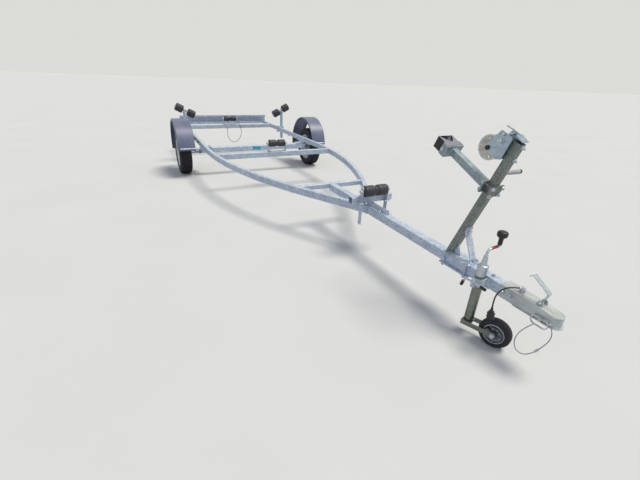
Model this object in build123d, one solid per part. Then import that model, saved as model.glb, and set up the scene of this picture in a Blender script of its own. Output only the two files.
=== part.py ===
from build123d import *
import math
import os

# Boat trailer with keel rollers, two double side rollers, a hand winch on a leaning post and a jockey wheel.
# Sizes are in millimetres. While it is built the frame is level: X points to the trailer's own left, Y to its
# rear and Z up, and Y = 0 lies WHEEL_Y in front of the wheels' axis. At the end the whole trailer leans nose down
# on its jockey wheel, and the origin moves to the ground under the middle of its box.

# Frame
RAIL_WIDTH = 40.0
RAIL_HEIGHT = 60.0
RAIL_WALL = 3.0
RAIL_TOP = 456.0
FRAME_HALF_WIDTH = 755.0
RAIL_REAR = 1660.0
BEND_START = -600.0
BEND_RADIUS = 3980.0
BEND_ANGLE = 28.0
DRAWBAR_WIDTH = 60.0
DRAWBAR_HEIGHT = 60.0
DRAWBAR_WALL = 4.0
DRAWBAR_FRONT = -4190.0
CROSS_WIDTH = 40.0
CROSS_WALL = 3.0
REAR_CROSS_Y = 1281.0
MIDDLE_CROSS_Y = -967.0
FRONT_CROSS_Y = -2340.0
FRONT_CROSS_HEIGHT = 40.0

# Fits: a shaft in its bore, and pieces that lie against each other
RUNNING_CLEARANCE = 0.05
PIECE_GAP = 0.3

# Axle and wheels
TYRE_RADIUS = 273.5
TYRE_WIDTH = 155.0
TREAD_WIDTH = 124.0
BEAD_RADIUS = 165.0
RIM_WIDTH = 114.0
TRACK = 1870.0
WHEEL_Y = 110.0
AXLE_BEAM_Y = -130.0
AXLE_BEAM_SIZE = 70.0
AXLE_BEAM_WALL = 5.0
AXLE_BEAM_TOP = 374.0
AXLE_BEAM_HALF = 700.0
AXLE_PLATE = 8.0
SWING_ARM_WIDTH = 30.0
SWING_EYE_RADIUS = 33.0
STUB_BOSS_RADIUS = 27.0
STUB_RADIUS = 15.0
HUB_RADIUS = 34.0
HUB_FLANGE_RADIUS = 62.0
WHEEL_OFFSET = 30.0
WINDOW_COUNT = 12
WINDOW_CIRCLE = 118.0
WINDOW_RADIUS = 11.0

# Mudguards
GUARD_WIDTH = 210.0
GUARD_INSET = 8.0
GUARD_RADIUS = 387.0
GUARD_CENTRE_Y = 130.0
GUARD_CENTRE_Z = 317.0
GUARD_FRONT_ANGLE = 6.5
GUARD_REAR_ANGLE = -10.0
GUARD_CORNER = 12.0
GUARD_WALL = 4.0
GUARD_OUTER_FLANGE = 28.0
GUARD_INNER_FLANGE = 16.0
STAY_RADIUS = 10.0
STAY_ANGLE = 10.0

# Keel rollers
KEEL_RADIUS = 40.0
KEEL_LENGTH = 200.0
KEEL_GROOVE_WIDTH = 20.0
KEEL_GROOVE_DEPTH = 10.0
PIN_RADIUS = 8.0
EAR_WIDTH = 34.0
EAR_THICKNESS = 5.0
EAR_GAP = 6.0
KEEL_HEIGHT_REAR = 550.0
KEEL_HEIGHT_MIDDLE = 552.0
FRONT_ROLLER_Y = -2985.0
KEEL_HEIGHT_FRONT = 582.0
FRONT_BAR_SIZE = 50.0
FRONT_BAR_HALF = 176.0
FRONT_BAR_BOTTOM = 487.0
FEET_LENGTH = 250.0

# Side rollers
SIDE_ROLLER_Y = 880.0
SIDE_ROLLER_RADIUS = 56.0
SIDE_ROLLER_LENGTH = 110.0
SIDE_TILT = 27.0
SIDE_POST_SIZE = 35.0
SIDE_POST_BOTTOM = 279.0
SIDE_POST_TOP = 700.0
SIDE_PIVOT_DROP = 12.0
SIDE_SHAFT_OFFSET = 35.0

# Light board
BOARD_DEPTH = 40.0
BOARD_BOTTOM = 415.0
BOARD_TOP = 560.0
BOARD_WALL = 3.0
BOARD_TOP_LIP = 25.0
BOARD_BOTTOM_LIP = 40.0
LAMP_LENGTH = 215.0
LAMP_HEIGHT = 95.0
LAMP_DEPTH = 45.0

# Winch post, bow stop arm and winch
POST_SIZE = 40.0
POST_WALL = 3.0
POST_LEAN = 19.5
POST_FOOT_Y = -3755.0
POST_LENGTH = 677.0
BASE_LENGTH = 200.0
BASE_WIDTH = 92.0
BASE_REAR = -3725.0
BASE_THICKNESS = 6.0
POST_STAY_HEIGHT = 170.0
POST_STAY_FOOT = -3902.0
ARM_SLOPE = 24.5
ARM_LENGTH = 272.0
ARM_SIZE = 40.0
ARM_HEIGHT_ON_POST = 432.0
STOP_WIDTH = 100.0
STOP_HEIGHT = 65.0
STOP_DEPTH = 92.0
STOP_BRACKET = 6.0
WINCH_HEIGHT_ON_POST = 583.0
WINCH_HALF_WIDTH = 40.0
WINCH_PLATE = 3.0
GEAR_MODULE = 2.0
DRUM_TEETH = 56
PINION_TEETH = 14
PRESSURE_ANGLE = 20.0
BACKLASH = 0.12
CRANK_ARM = 160.0

# Jockey wheel
JOCKEY_Y = -4013.0
JOCKEY_TUBE_RADIUS = 24.0
JOCKEY_TUBE_WALL = 3.0
JOCKEY_TUBE_BOTTOM = 196.0
JOCKEY_TUBE_TOP = 520.0
JOCKEY_STROKE = 200.0
JOCKEY_WHEEL_RADIUS = 80.0
JOCKEY_WHEEL_WIDTH = 50.0
JOCKEY_RIM_RADIUS = 52.0
JOCKEY_TRAIL = 140.0
JOCKEY_TURN = 18.0
CLAMP_SLEEVE = 5.0

# Coupling
COUPLING_REAR = -4110.0
COUPLING_WALL = 4.0
COUPLING_TOP = 461.0
COUPLING_BOTTOM = 395.0
COUPLING_NOSE_RADIUS = 33.0
COUPLING_NOSE_TOP = 447.0
BALL_RADIUS = 25.0
BALL_Y = -4365.0
BALL_Z = 420.0

# Stance: the frame slopes down to the nose until the jockey wheel stands on the ground
NOSE_DOWN = 1.486


def box(x, y, z):
    """A block between two limits on each axis."""
    centre = Pos((x[0] + x[1]) / 2, (y[0] + y[1]) / 2, (z[0] + z[1]) / 2)
    return centre * Box(x[1] - x[0], y[1] - y[0], z[1] - z[0])


def bar_x(radius, x, y, z):
    """A round bar along X between the two limits x."""
    return Pos((x[0] + x[1]) / 2, y, z) * Rot(0, 90, 0) * Cylinder(radius, x[1] - x[0])


def bar_y(radius, x, y, z):
    """A round bar along Y between the two limits y."""
    return Pos(x, (y[0] + y[1]) / 2, z) * Rot(90, 0, 0) * Cylinder(radius, y[1] - y[0])


def bar_z(radius, x, y, z):
    """A round bar along Z between the two limits z."""
    return Pos(x, y, (z[0] + z[1]) / 2) * Cylinder(radius, z[1] - z[0])


def tube_section(width, height, wall):
    """Outline of a rectangular tube with rounded corners, drawn about its own centre."""
    outer = RectangleRounded(width, height, 1.8 * wall)
    return outer - RectangleRounded(width - 2 * wall, height - 2 * wall, 0.8 * wall)


def plan_profile(outline, z):
    """Extrudes an outline drawn in plan between the two limits z."""
    return extrude(Pos(0, 0, z[0]) * outline, z[1] - z[0], dir=(0, 0, 1))


def side_outline(outline, x):
    """Extrudes an outline drawn as seen from the side between the two limits x."""
    return Pos(x[0], 0, 0) * extrude(Plane.YZ * outline, x[1] - x[0], dir=(1, 0, 0))


def side_profile(points, x):
    """Extrudes a polygon given as (y, z) points between the two limits x."""
    return side_outline(Polygon(*points, align=None), x)


def bent_strip(points, thickness, x):
    """A flat strip bent along (y, z) points, with mitred corners, between the two limits x."""
    headings = [math.atan2(b[1] - a[1], b[0] - a[0]) for a, b in zip(points, points[1:])]
    sides = []
    for side in (1, -1):
        edge = []
        for i, here in enumerate(points):
            first = headings[max(i - 1, 0)]
            last = headings[min(i, len(headings) - 1)]
            turn = (last - first + math.pi) % (2 * math.pi) - math.pi
            direction = first + turn / 2
            reach = side * thickness / 2 / math.cos(turn / 2)
            edge.append((here[0] - reach * math.sin(direction), here[1] + reach * math.cos(direction)))
        sides.append(edge)
    return side_profile(sides[0] + sides[1][::-1], x)


def bent_rod(points, radius, bend_radius):
    """A round rod along straight runs, with one bend radius or a list of one for each corner."""
    path = FilletPolyline(*points, radius=bend_radius) if len(points) > 2 else Line(*points)
    return sweep(Plane(origin=path @ 0, z_dir=path % 0) * Circle(radius), path=path)


def mirrored(part):
    """The same piece on the other side of the trailer."""
    return mirror(part, about=Plane.YZ)


def both_sides(*solids):
    """One node for pieces that are there on the left and, mirrored, on the right."""
    return Compound([solid.solid() for solid in solids] + [mirrored(solid).solid() for solid in solids])


parts = {}


# Side rails, swept along a straight, one long bend and a straight that runs into the drawbar

RAIL_X = FRAME_HALF_WIDTH - RAIL_WIDTH / 2
RAIL_Z = RAIL_TOP - RAIL_HEIGHT / 2
RAIL_INNER = FRAME_HALF_WIDTH - RAIL_WIDTH
HALF_DRAWBAR = DRAWBAR_WIDTH / 2
bend = math.radians(BEND_ANGLE)
BEND_END_X = RAIL_X - BEND_RADIUS * (1 - math.cos(bend))
BEND_END_Y = BEND_START - BEND_RADIUS * math.sin(bend)
RAIL_TIP_X = HALF_DRAWBAR - RAIL_WIDTH / 2
RAIL_TIP_Y = BEND_END_Y - (BEND_END_X - RAIL_TIP_X) / math.tan(bend)


def rail_x(y):
    """Middle of the left rail at a place y along the trailer."""
    if y >= BEND_START:
        return RAIL_X
    if y >= BEND_END_Y:
        return RAIL_X - BEND_RADIUS + math.sqrt(BEND_RADIUS ** 2 - (BEND_START - y) ** 2)
    return BEND_END_X - (BEND_END_Y - y) * math.tan(bend)


def along_rail(section):
    """Carries a section along the left rail and cuts it off at the drawbar's side."""
    start = (RAIL_X, RAIL_REAR, RAIL_Z)
    straight = Line(start, (RAIL_X, BEND_START, RAIL_Z))
    arc = CenterArc((RAIL_X - BEND_RADIUS, BEND_START, RAIL_Z), BEND_RADIUS, 0, -BEND_ANGLE)
    tip = Line(arc @ 1, (RAIL_TIP_X, RAIL_TIP_Y, RAIL_Z))
    plane = Plane(origin=start, x_dir=(1, 0, 0), z_dir=(0, -1, 0))
    rail = sweep(plane * section, path=Wire([straight.edge(), arc.edge(), tip.edge()]))
    inside = box((-DRAWBAR_WIDTH, HALF_DRAWBAR), (RAIL_TIP_Y - DRAWBAR_WIDTH, BEND_END_Y), (0, 2 * RAIL_TOP))
    return rail - inside


parts["side_rails"] = both_sides(along_rail(tube_section(RAIL_WIDTH, RAIL_HEIGHT, RAIL_WALL)))
rail_core = along_rail(Rectangle(RAIL_WIDTH, RAIL_HEIGHT))

# Cross-members between the rails' inner faces, and the drawbar that starts at the front one


def cross_member(y, height):
    """A rectangular tube from rail to rail, its top level with theirs, its ends cut to their inner faces."""
    section = Plane.YZ * tube_section(CROSS_WIDTH, height, CROSS_WALL)
    member = Pos(0, y, RAIL_TOP - height / 2) * extrude(section, rail_x(y), dir=(1, 0, 0)) - rail_core
    left_half = member.solids().sort_by(Axis.X)[0]
    return left_half + mirrored(left_half)


parts["cross_members"] = Compound([
    cross_member(REAR_CROSS_Y, RAIL_HEIGHT).solid(), cross_member(MIDDLE_CROSS_Y, RAIL_HEIGHT).solid(),
    cross_member(FRONT_CROSS_Y, FRONT_CROSS_HEIGHT).solid()])

DRAWBAR_REAR = FRONT_CROSS_Y - CROSS_WIDTH / 2
DRAWBAR_BOTTOM = RAIL_TOP - DRAWBAR_HEIGHT
drawbar_section = Plane.XZ * tube_section(DRAWBAR_WIDTH, DRAWBAR_HEIGHT, DRAWBAR_WALL)
drawbar = extrude(drawbar_section, DRAWBAR_REAR - DRAWBAR_FRONT, dir=(0, -1, 0))
parts["drawbar"] = Pos(0, DRAWBAR_REAR, RAIL_TOP - DRAWBAR_HEIGHT / 2) * drawbar

# Light board, a folded channel that opens forwards, welded across the rails' rear ends, with its two lamps

BOARD_FRONT = RAIL_REAR
BOARD_REAR = BOARD_FRONT + BOARD_DEPTH
board_line = [
    (BOARD_FRONT + BOARD_WALL / 2, BOARD_BOTTOM + BOARD_BOTTOM_LIP),
    (BOARD_FRONT + BOARD_WALL / 2, BOARD_BOTTOM + BOARD_WALL / 2),
    (BOARD_REAR - BOARD_WALL / 2, BOARD_BOTTOM + BOARD_WALL / 2),
    (BOARD_REAR - BOARD_WALL / 2, BOARD_TOP - BOARD_WALL / 2),
    (BOARD_FRONT + BOARD_WALL / 2, BOARD_TOP - BOARD_WALL / 2),
    (BOARD_FRONT + BOARD_WALL / 2, BOARD_TOP - BOARD_TOP_LIP)]
parts["light_board"] = bent_strip(board_line, BOARD_WALL, (-FRAME_HALF_WIDTH, FRAME_HALF_WIDTH))

LAMP_INSET = 12.0
LAMP_CORNER = 12.0
lamp_x = FRAME_HALF_WIDTH - LAMP_INSET - LAMP_LENGTH / 2
lamp = Pos(lamp_x, BOARD_REAR + LAMP_DEPTH / 2, (BOARD_TOP + BOARD_BOTTOM) / 2)
lamp = lamp * Box(LAMP_LENGTH, LAMP_DEPTH, LAMP_HEIGHT)
lamp = fillet(lamp.edges().filter_by(Axis.Y), LAMP_CORNER)
parts["tail_lamps"] = both_sides(lamp)

# Axle: a square beam under the rails, a trailing arm with a stub axle at each end, and the foot brackets

slope = math.radians(NOSE_DOWN)
AXLE_Z = AXLE_BEAM_TOP - AXLE_BEAM_SIZE / 2
WHEEL_X = TRACK / 2
WHEEL_Z = TYRE_RADIUS - WHEEL_Y * math.tan(slope)
beam_section = Plane.YZ * tube_section(AXLE_BEAM_SIZE, AXLE_BEAM_SIZE, AXLE_BEAM_WALL)
parts["axle_beam"] = Pos(0, AXLE_BEAM_Y, AXLE_Z) * extrude(beam_section, AXLE_BEAM_HALF, both=True)

FOOT_INNER = 600.0
FOOT_Y = (AXLE_BEAM_Y - 40, AXLE_BEAM_Y + 60)
CHEEK_Y = (AXLE_BEAM_Y - 60, AXLE_BEAM_Y + 240)
FOOT_TOP = AXLE_BEAM_TOP + AXLE_PLATE
CHEEK_TOP = RAIL_TOP - 14
foot = box((FOOT_INNER, RAIL_INNER - AXLE_PLATE), FOOT_Y, (AXLE_BEAM_TOP, FOOT_TOP))
cheek = side_profile([
    (CHEEK_Y[0], CHEEK_TOP), (CHEEK_Y[0], FOOT_TOP + 10), (FOOT_Y[0], AXLE_BEAM_TOP), (FOOT_Y[1], AXLE_BEAM_TOP),
    (CHEEK_Y[1], CHEEK_TOP - 34), (CHEEK_Y[1], CHEEK_TOP)], (RAIL_INNER - AXLE_PLATE, RAIL_INNER))
parts["axle_brackets"] = both_sides(foot + cheek)

ARM_X = (AXLE_BEAM_HALF + PIECE_GAP, AXLE_BEAM_HALF + PIECE_GAP + SWING_ARM_WIDTH)
STUB_SHOULDER = WHEEL_X - 70
STUB_TIP = WHEEL_X + 42
SPLINE_RADIUS = 26.0
arm_length = math.hypot(WHEEL_Y - AXLE_BEAM_Y, WHEEL_Z - AXLE_Z)
arm_drop = math.degrees(math.atan2(WHEEL_Z - AXLE_Z, WHEEL_Y - AXLE_BEAM_Y))
arm_outline = make_hull((Circle(SWING_EYE_RADIUS) + Pos(arm_length, 0) * Circle(STUB_BOSS_RADIUS)).edges())
arm = Pos(0, AXLE_BEAM_Y, AXLE_Z) * Rot(arm_drop, 0, 0) * side_outline(arm_outline, ARM_X)
arm = arm + bar_x(SPLINE_RADIUS, (ARM_X[0] - 60, ARM_X[0]), AXLE_BEAM_Y, AXLE_Z)
arm = arm + bar_x(STUB_RADIUS + 5, (ARM_X[1], STUB_SHOULDER), WHEEL_Y, WHEEL_Z)
arm = arm + bar_x(STUB_RADIUS, (STUB_SHOULDER, STUB_TIP), WHEEL_Y, WHEEL_Z)
parts["swing_arms"] = both_sides(arm)

# Wheels: hub with flange and dust cap, pressed steel rim, tyre, each turned about the wheel's axis


def on_wheel(points):
    """Revolves an outline given as (x, radius) points, x counted from the wheel's middle, about the wheel's axis."""
    return Pos(WHEEL_X, WHEEL_Y, WHEEL_Z) * revolve(Polygon(*points, align=None), Axis.X)


HUB_INNER = -68.0
FLANGE_THICKNESS = 10.0
STUB_END = STUB_TIP - WHEEL_X
hub_bore = STUB_RADIUS + RUNNING_CLEARANCE
SPIGOT_RADIUS = 29.0
hub = on_wheel([
    (HUB_INNER, hub_bore), (STUB_END - 6, hub_bore), (STUB_END - 6, STUB_RADIUS + 6),
    (STUB_END + 6, STUB_RADIUS + 6), (STUB_END + 6, 0), (STUB_END + 26, 0), (STUB_END + 26, 16),
    (STUB_END + 20, 24), (WHEEL_OFFSET + 4, 26), (WHEEL_OFFSET, SPIGOT_RADIUS), (WHEEL_OFFSET, HUB_FLANGE_RADIUS),
    (WHEEL_OFFSET - FLANGE_THICKNESS, HUB_FLANGE_RADIUS), (WHEEL_OFFSET - FLANGE_THICKNESS, HUB_RADIUS + 6),
    (HUB_INNER, HUB_RADIUS)])
parts["hub_left"] = hub

RIM_HALF = RIM_WIDTH / 2
DISC_WALL = 4.0
WELL_RADIUS = 142.0
disc = on_wheel([
    (WHEEL_OFFSET, SPIGOT_RADIUS + PIECE_GAP), (WHEEL_OFFSET + DISC_WALL, SPIGOT_RADIUS + PIECE_GAP),
    (WHEEL_OFFSET + DISC_WALL, 66), (44, 84), (44, 104), (18, WELL_RADIUS), (-4, WELL_RADIUS + 0.6),
    (-4, WELL_RADIUS - 3.4), (16, WELL_RADIUS - 4), (40, 102), (40, 86), (WHEEL_OFFSET, 68)])
for i in range(WINDOW_COUNT):
    window = bar_x(WINDOW_RADIUS, (WHEEL_X, WHEEL_X + RIM_WIDTH), 0, WINDOW_CIRCLE)
    disc = disc - Pos(0, WHEEL_Y, WHEEL_Z) * Rot(360 * i / WINDOW_COUNT, 0, 0) * window
rim_line = [(-RIM_HALF - 6, 14), (-RIM_HALF, 0), (-RIM_HALF + 22, -3), (-RIM_HALF + 34, -18), (24, -18), (34, -3),
            (RIM_HALF, 0), (RIM_HALF + 6, 14), (RIM_HALF + 9, 12), (RIM_HALF + 3, -4), (36, -8), (26, -23),
            (-RIM_HALF + 32, -23), (-RIM_HALF + 20, -8), (-RIM_HALF - 3, -4), (-RIM_HALF - 9, 12)]
barrel = on_wheel([(x, BEAD_RADIUS + rise) for x, rise in rim_line])
parts["rim_left"] = disc + barrel

half_tyre = TYRE_WIDTH / 2
half_tread = TREAD_WIDTH / 2
BULGE_RADIUS = BEAD_RADIUS + 50
outside = [(RIM_HALF, BEAD_RADIUS + PIECE_GAP), (RIM_HALF + 5, BEAD_RADIUS + 16), (half_tyre, BULGE_RADIUS),
           (half_tyre - 4, TYRE_RADIUS - 24), (half_tread, TYRE_RADIUS - 4), (half_tread / 2, TYRE_RADIUS)]
inside = [(half_tread - 6, TYRE_RADIUS - 16), (half_tyre - 12, BULGE_RADIUS), (RIM_HALF - 10, BEAD_RADIUS + 20),
          (RIM_HALF - 14, BEAD_RADIUS - 1)]
loop = outside + [(-x, radius) for x, radius in outside[::-1]]
loop = loop + [(-x, radius) for x, radius in inside[::-1]] + inside
parts["tyre_left"] = on_wheel(loop)
for name in ("hub", "rim", "tyre"):
    parts[name + "_right"] = mirrored(parts[name + "_left"])

# Mudguards, each a part turn of a shallow channel, bolted to two cross tubes that the rail carries

GUARD_INNER_X = WHEEL_X - GUARD_INSET - GUARD_WIDTH / 2
GUARD_OUTER_X = GUARD_INNER_X + GUARD_WIDTH
guard_section = Polygon(
    (GUARD_INNER_X, GUARD_RADIUS - GUARD_INNER_FLANGE), (GUARD_INNER_X, GUARD_RADIUS),
    (GUARD_OUTER_X, GUARD_RADIUS), (GUARD_OUTER_X, GUARD_RADIUS - GUARD_OUTER_FLANGE),
    (GUARD_OUTER_X - GUARD_WALL, GUARD_RADIUS - GUARD_OUTER_FLANGE),
    (GUARD_OUTER_X - GUARD_WALL, GUARD_RADIUS - GUARD_WALL), (GUARD_INNER_X + GUARD_WALL, GUARD_RADIUS - GUARD_WALL),
    (GUARD_INNER_X + GUARD_WALL, GUARD_RADIUS - GUARD_INNER_FLANGE), align=None)
guard_section = chamfer(guard_section.vertices().group_by(Axis.Y)[-2], GUARD_CORNER / 2 - 1)
guard_section = fillet(guard_section.vertices().group_by(Axis.Y)[-1], GUARD_CORNER)
guard = revolve(guard_section, Axis.X, 180 - GUARD_FRONT_ANGLE - GUARD_REAR_ANGLE)
guard = Pos(0, GUARD_CENTRE_Y, GUARD_CENTRE_Z) * Rot(GUARD_REAR_ANGLE, 0, 0) * guard
parts["mudguards"] = both_sides(guard)
STAY_X = (FRAME_HALF_WIDTH + 12, GUARD_OUTER_X - 25)
stay_circle = GUARD_RADIUS + STAY_RADIUS + PIECE_GAP
STAY_Z = GUARD_CENTRE_Z + stay_circle * math.sin(math.radians(STAY_ANGLE))
stay_reach = stay_circle * math.cos(math.radians(STAY_ANGLE))
stays = []
for y in (GUARD_CENTRE_Y - stay_reach, GUARD_CENTRE_Y + stay_reach):
    clip = box((FRAME_HALF_WIDTH, STAY_X[0]), (y - 20, y + 20), (STAY_Z - 18, STAY_Z + 30))
    stays.append(bar_x(STAY_RADIUS, STAY_X, y, STAY_Z) + clip)
parts["mudguard_stays"] = both_sides(*stays)

# Keel rollers: a grooved rubber roller on a pin between two flat ears


def keel_roller(y, z):
    """The roller itself, with a groove in the middle, chamfered ends and a bore for its pin."""
    half_length = KEEL_LENGTH / 2
    groove = KEEL_GROOVE_WIDTH / 2
    half = [(half_length, PIN_RADIUS + RUNNING_CLEARANCE), (half_length, KEEL_RADIUS - 4),
            (half_length - 4, KEEL_RADIUS), (groove + 5, KEEL_RADIUS), (groove, KEEL_RADIUS - KEEL_GROOVE_DEPTH)]
    outline = half + [(-x, radius) for x, radius in half[::-1]]
    return Pos(0, y, z) * revolve(Polygon(*outline, align=None), Axis.X)


def ear(x, y, z):
    """A flat upright bar with a rounded top, x at its middle, between the two limits z."""
    limits = (x - EAR_THICKNESS / 2, x + EAR_THICKNESS / 2)
    plate = box(limits, (y - EAR_WIDTH / 2, y + EAR_WIDTH / 2), (z[0], z[1] - EAR_WIDTH / 2))
    return plate + bar_x(EAR_WIDTH / 2, limits, y, z[1] - EAR_WIDTH / 2)


EAR_X = KEEL_LENGTH / 2 + EAR_GAP + EAR_THICKNESS / 2
EAR_RISE = 22.0
PIN_REACH = EAR_X + EAR_THICKNESS / 2 + 12


def keel_bracket(y, z, seat):
    """Two ears on a foot plate, with the roller's pin through them."""
    outside = EAR_X + EAR_THICKNESS / 2
    plate = box((-outside, outside), (y - EAR_WIDTH / 2, y + EAR_WIDTH / 2), (seat, seat + EAR_THICKNESS))
    pin = bar_x(PIN_RADIUS, (-PIN_REACH, PIN_REACH), y, z)
    return plate + ear(-EAR_X, y, (seat, z + EAR_RISE)) + ear(EAR_X, y, (seat, z + EAR_RISE)) + pin


parts["rear_keel_roller"] = keel_roller(REAR_CROSS_Y, KEEL_HEIGHT_REAR)
parts["middle_keel_roller"] = keel_roller(MIDDLE_CROSS_Y, KEEL_HEIGHT_MIDDLE)
parts["front_keel_roller"] = keel_roller(FRONT_ROLLER_Y, KEEL_HEIGHT_FRONT)
parts["keel_roller_brackets"] = Compound([
    keel_bracket(REAR_CROSS_Y, KEEL_HEIGHT_REAR, RAIL_TOP).solid(),
    keel_bracket(MIDDLE_CROSS_Y, KEEL_HEIGHT_MIDDLE, RAIL_TOP).solid()])

# The front roller's ears hang in front of a square cross tube, which two slotted angles carry on the drawbar

EAR_FOOT_RIGHT = 335.0
EAR_FOOT_LEFT = 415.0
FRONT_BAR_Y = FRONT_ROLLER_Y + EAR_WIDTH / 2 + FRONT_BAR_SIZE / 2
bar_section = Plane.YZ * tube_section(FRONT_BAR_SIZE, FRONT_BAR_SIZE, 3.0)
bar_z_middle = FRONT_BAR_BOTTOM + FRONT_BAR_SIZE / 2
parts["front_roller_bar"] = Pos(0, FRONT_BAR_Y, bar_z_middle) * extrude(bar_section, FRONT_BAR_HALF, both=True)
front_bracket = bar_x(PIN_RADIUS, (-PIN_REACH, PIN_REACH), FRONT_ROLLER_Y, KEEL_HEIGHT_FRONT)
front_bracket = front_bracket + ear(-EAR_X, FRONT_ROLLER_Y, (EAR_FOOT_RIGHT, KEEL_HEIGHT_FRONT + EAR_RISE + 14))
front_bracket = front_bracket + ear(EAR_X, FRONT_ROLLER_Y, (EAR_FOOT_LEFT, KEEL_HEIGHT_FRONT + EAR_RISE + 10))
parts["front_keel_bracket"] = front_bracket
FEET_REAR = FRONT_BAR_Y + FRONT_BAR_SIZE / 2
FEET_Y = (FEET_REAR - FEET_LENGTH, FEET_REAR)
ANGLE_WALL = 4.0
ANGLE_INNER = 4.0
SLOT_LENGTH = 90.0
SLOT_WIDTH = 11.0
upright = box((ANGLE_INNER, ANGLE_INNER + ANGLE_WALL), FEET_Y, (RAIL_TOP, FRONT_BAR_BOTTOM))
ledge = box((ANGLE_INNER, HALF_DRAWBAR), FEET_Y, (RAIL_TOP, RAIL_TOP + ANGLE_WALL))
slot_place = Pos((ANGLE_INNER + ANGLE_WALL + HALF_DRAWBAR) / 2, FEET_Y[0] + SLOT_LENGTH * 0.75, 0)
slot = plan_profile(slot_place * Rot(0, 0, 90) * SlotOverall(SLOT_LENGTH, SLOT_WIDTH), (0, 2 * RAIL_TOP))
parts["front_roller_feet"] = both_sides(upright + ledge - slot)

# Side rollers: a post clamped to the rail, a rocking head and two rubber rollers on its shaft

SIDE_POST_X = FRAME_HALF_WIDTH + SIDE_POST_SIZE / 2
PIVOT_Z = SIDE_POST_TOP - SIDE_PIVOT_DROP
half_post = SIDE_POST_SIZE / 2
post = plan_profile(tube_section(SIDE_POST_SIZE, SIDE_POST_SIZE, 3.0), (SIDE_POST_BOTTOM, SIDE_POST_TOP))
post = Pos(SIDE_POST_X, SIDE_ROLLER_Y, 0) * post
pivot_bore = bar_y(PIN_RADIUS + RUNNING_CLEARANCE, SIDE_POST_X,
                   (SIDE_ROLLER_Y - SIDE_POST_SIZE, SIDE_ROLLER_Y + SIDE_POST_SIZE), PIVOT_Z)
parts["side_posts"] = both_sides(post - pivot_bore)

CLAMP_STRAP = 5.0
CLAMP_HALF_LENGTH = 42.0
CLAMP_RISE = 14.0
strap_y = (SIDE_ROLLER_Y - CLAMP_HALF_LENGTH, SIDE_ROLLER_Y + CLAMP_HALF_LENGTH)
strap_z = (RAIL_TOP - RAIL_HEIGHT - CLAMP_RISE, RAIL_TOP + CLAMP_RISE)
post_outer = SIDE_POST_X + half_post
clamp = box((post_outer, post_outer + CLAMP_STRAP), strap_y, strap_z)
clamp = clamp + box((RAIL_INNER - CLAMP_STRAP, RAIL_INNER), strap_y, strap_z)
for y in (strap_y[0] + 12, strap_y[1] - 12):
    for z in (strap_z[0] + 7, strap_z[1] - 7):
        clamp = clamp + bar_x(5, (RAIL_INNER - CLAMP_STRAP - 8, post_outer + CLAMP_STRAP + 8), y, z)
parts["side_post_clamps"] = both_sides(clamp)

HEAD_CHEEK = 4.0
HEAD_BLOCK_HALF = 26.0
cheek_y = (half_post + PIECE_GAP, half_post + PIECE_GAP + HEAD_CHEEK)
SIDE_ROLLER_SPACING = HEAD_BLOCK_HALF + SIDE_ROLLER_LENGTH / 2 + 8.5
shaft_half = SIDE_ROLLER_SPACING + SIDE_ROLLER_LENGTH / 2 + 14
head = box((-HEAD_BLOCK_HALF, HEAD_BLOCK_HALF), (-cheek_y[1], cheek_y[1]),
           (SIDE_SHAFT_OFFSET - PIN_RADIUS, SIDE_SHAFT_OFFSET + PIN_RADIUS + 7))
head = head + bar_x(PIN_RADIUS, (-shaft_half, shaft_half), 0, SIDE_SHAFT_OFFSET)
cheek_outline = Plane.XZ * make_hull((Circle(16) + Pos(0, SIDE_SHAFT_OFFSET) * Circle(22)).edges())
for y in (cheek_y[1], -cheek_y[0]):
    head = head + Pos(0, y, 0) * extrude(cheek_outline, HEAD_CHEEK, dir=(0, -1, 0))
head = head - box((-60, 60), (-60, 60), (SIDE_SHAFT_OFFSET + PIN_RADIUS + 7, 200))
head = head + bar_y(PIN_RADIUS, 0, (-cheek_y[1] - 8, cheek_y[1] + 8), 0)
to_head = Pos(SIDE_POST_X, SIDE_ROLLER_Y, PIVOT_Z) * Rot(0, -SIDE_TILT, 0)
parts["side_roller_head_left"] = to_head * head
parts["side_roller_head_right"] = mirrored(parts["side_roller_head_left"])
roller_end = SIDE_ROLLER_LENGTH / 2
half_roller = [(roller_end, PIN_RADIUS + RUNNING_CLEARANCE), (roller_end, SIDE_ROLLER_RADIUS - 12),
               (roller_end - 12, SIDE_ROLLER_RADIUS)]
outline = half_roller + [(-x, radius) for x, radius in half_roller[::-1]]
for name, place in (("inner", -SIDE_ROLLER_SPACING), ("outer", SIDE_ROLLER_SPACING)):
    roller = to_head * Pos(place, 0, SIDE_SHAFT_OFFSET) * revolve(Polygon(*outline, align=None), Axis.X)
    parts["side_roller_" + name + "_left"] = roller
    parts["side_roller_" + name + "_right"] = mirrored(roller)

# Winch post on its foot plate, with a stay in front. A piece on the post is drawn with y rearwards from the
# post's rear face and z up along the post, and on_post carries it there

PLATE_TOP = RAIL_TOP + BASE_THICKNESS
lean = math.radians(POST_LEAN)
post_axis = Pos(0, POST_FOOT_Y, PLATE_TOP) * Rot(POST_LEAN, 0, 0)
on_post = post_axis * Pos(0, POST_SIZE / 2, 0)
post = post_axis * plan_profile(tube_section(POST_SIZE, POST_SIZE, POST_WALL), (-POST_SIZE, POST_LENGTH))
parts["winch_post"] = post - box((-POST_SIZE, POST_SIZE), (POST_FOOT_Y - 100, POST_FOOT_Y + 100),
                                 (0, PLATE_TOP))
BASE_FRONT = BASE_REAR - BASE_LENGTH
half_base = BASE_WIDTH / 2
BASE_CORNER = 16.0
base_outline = Polygon(
    (-half_base, BASE_REAR), (half_base - BASE_CORNER, BASE_REAR), (half_base, BASE_REAR - BASE_CORNER),
    (half_base, BASE_FRONT + BASE_CORNER), (half_base - BASE_CORNER, BASE_FRONT), (-half_base, BASE_FRONT),
    align=None)
GUSSET_HEIGHT = 62.0
GUSSET_LENGTH = 50.0
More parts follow.
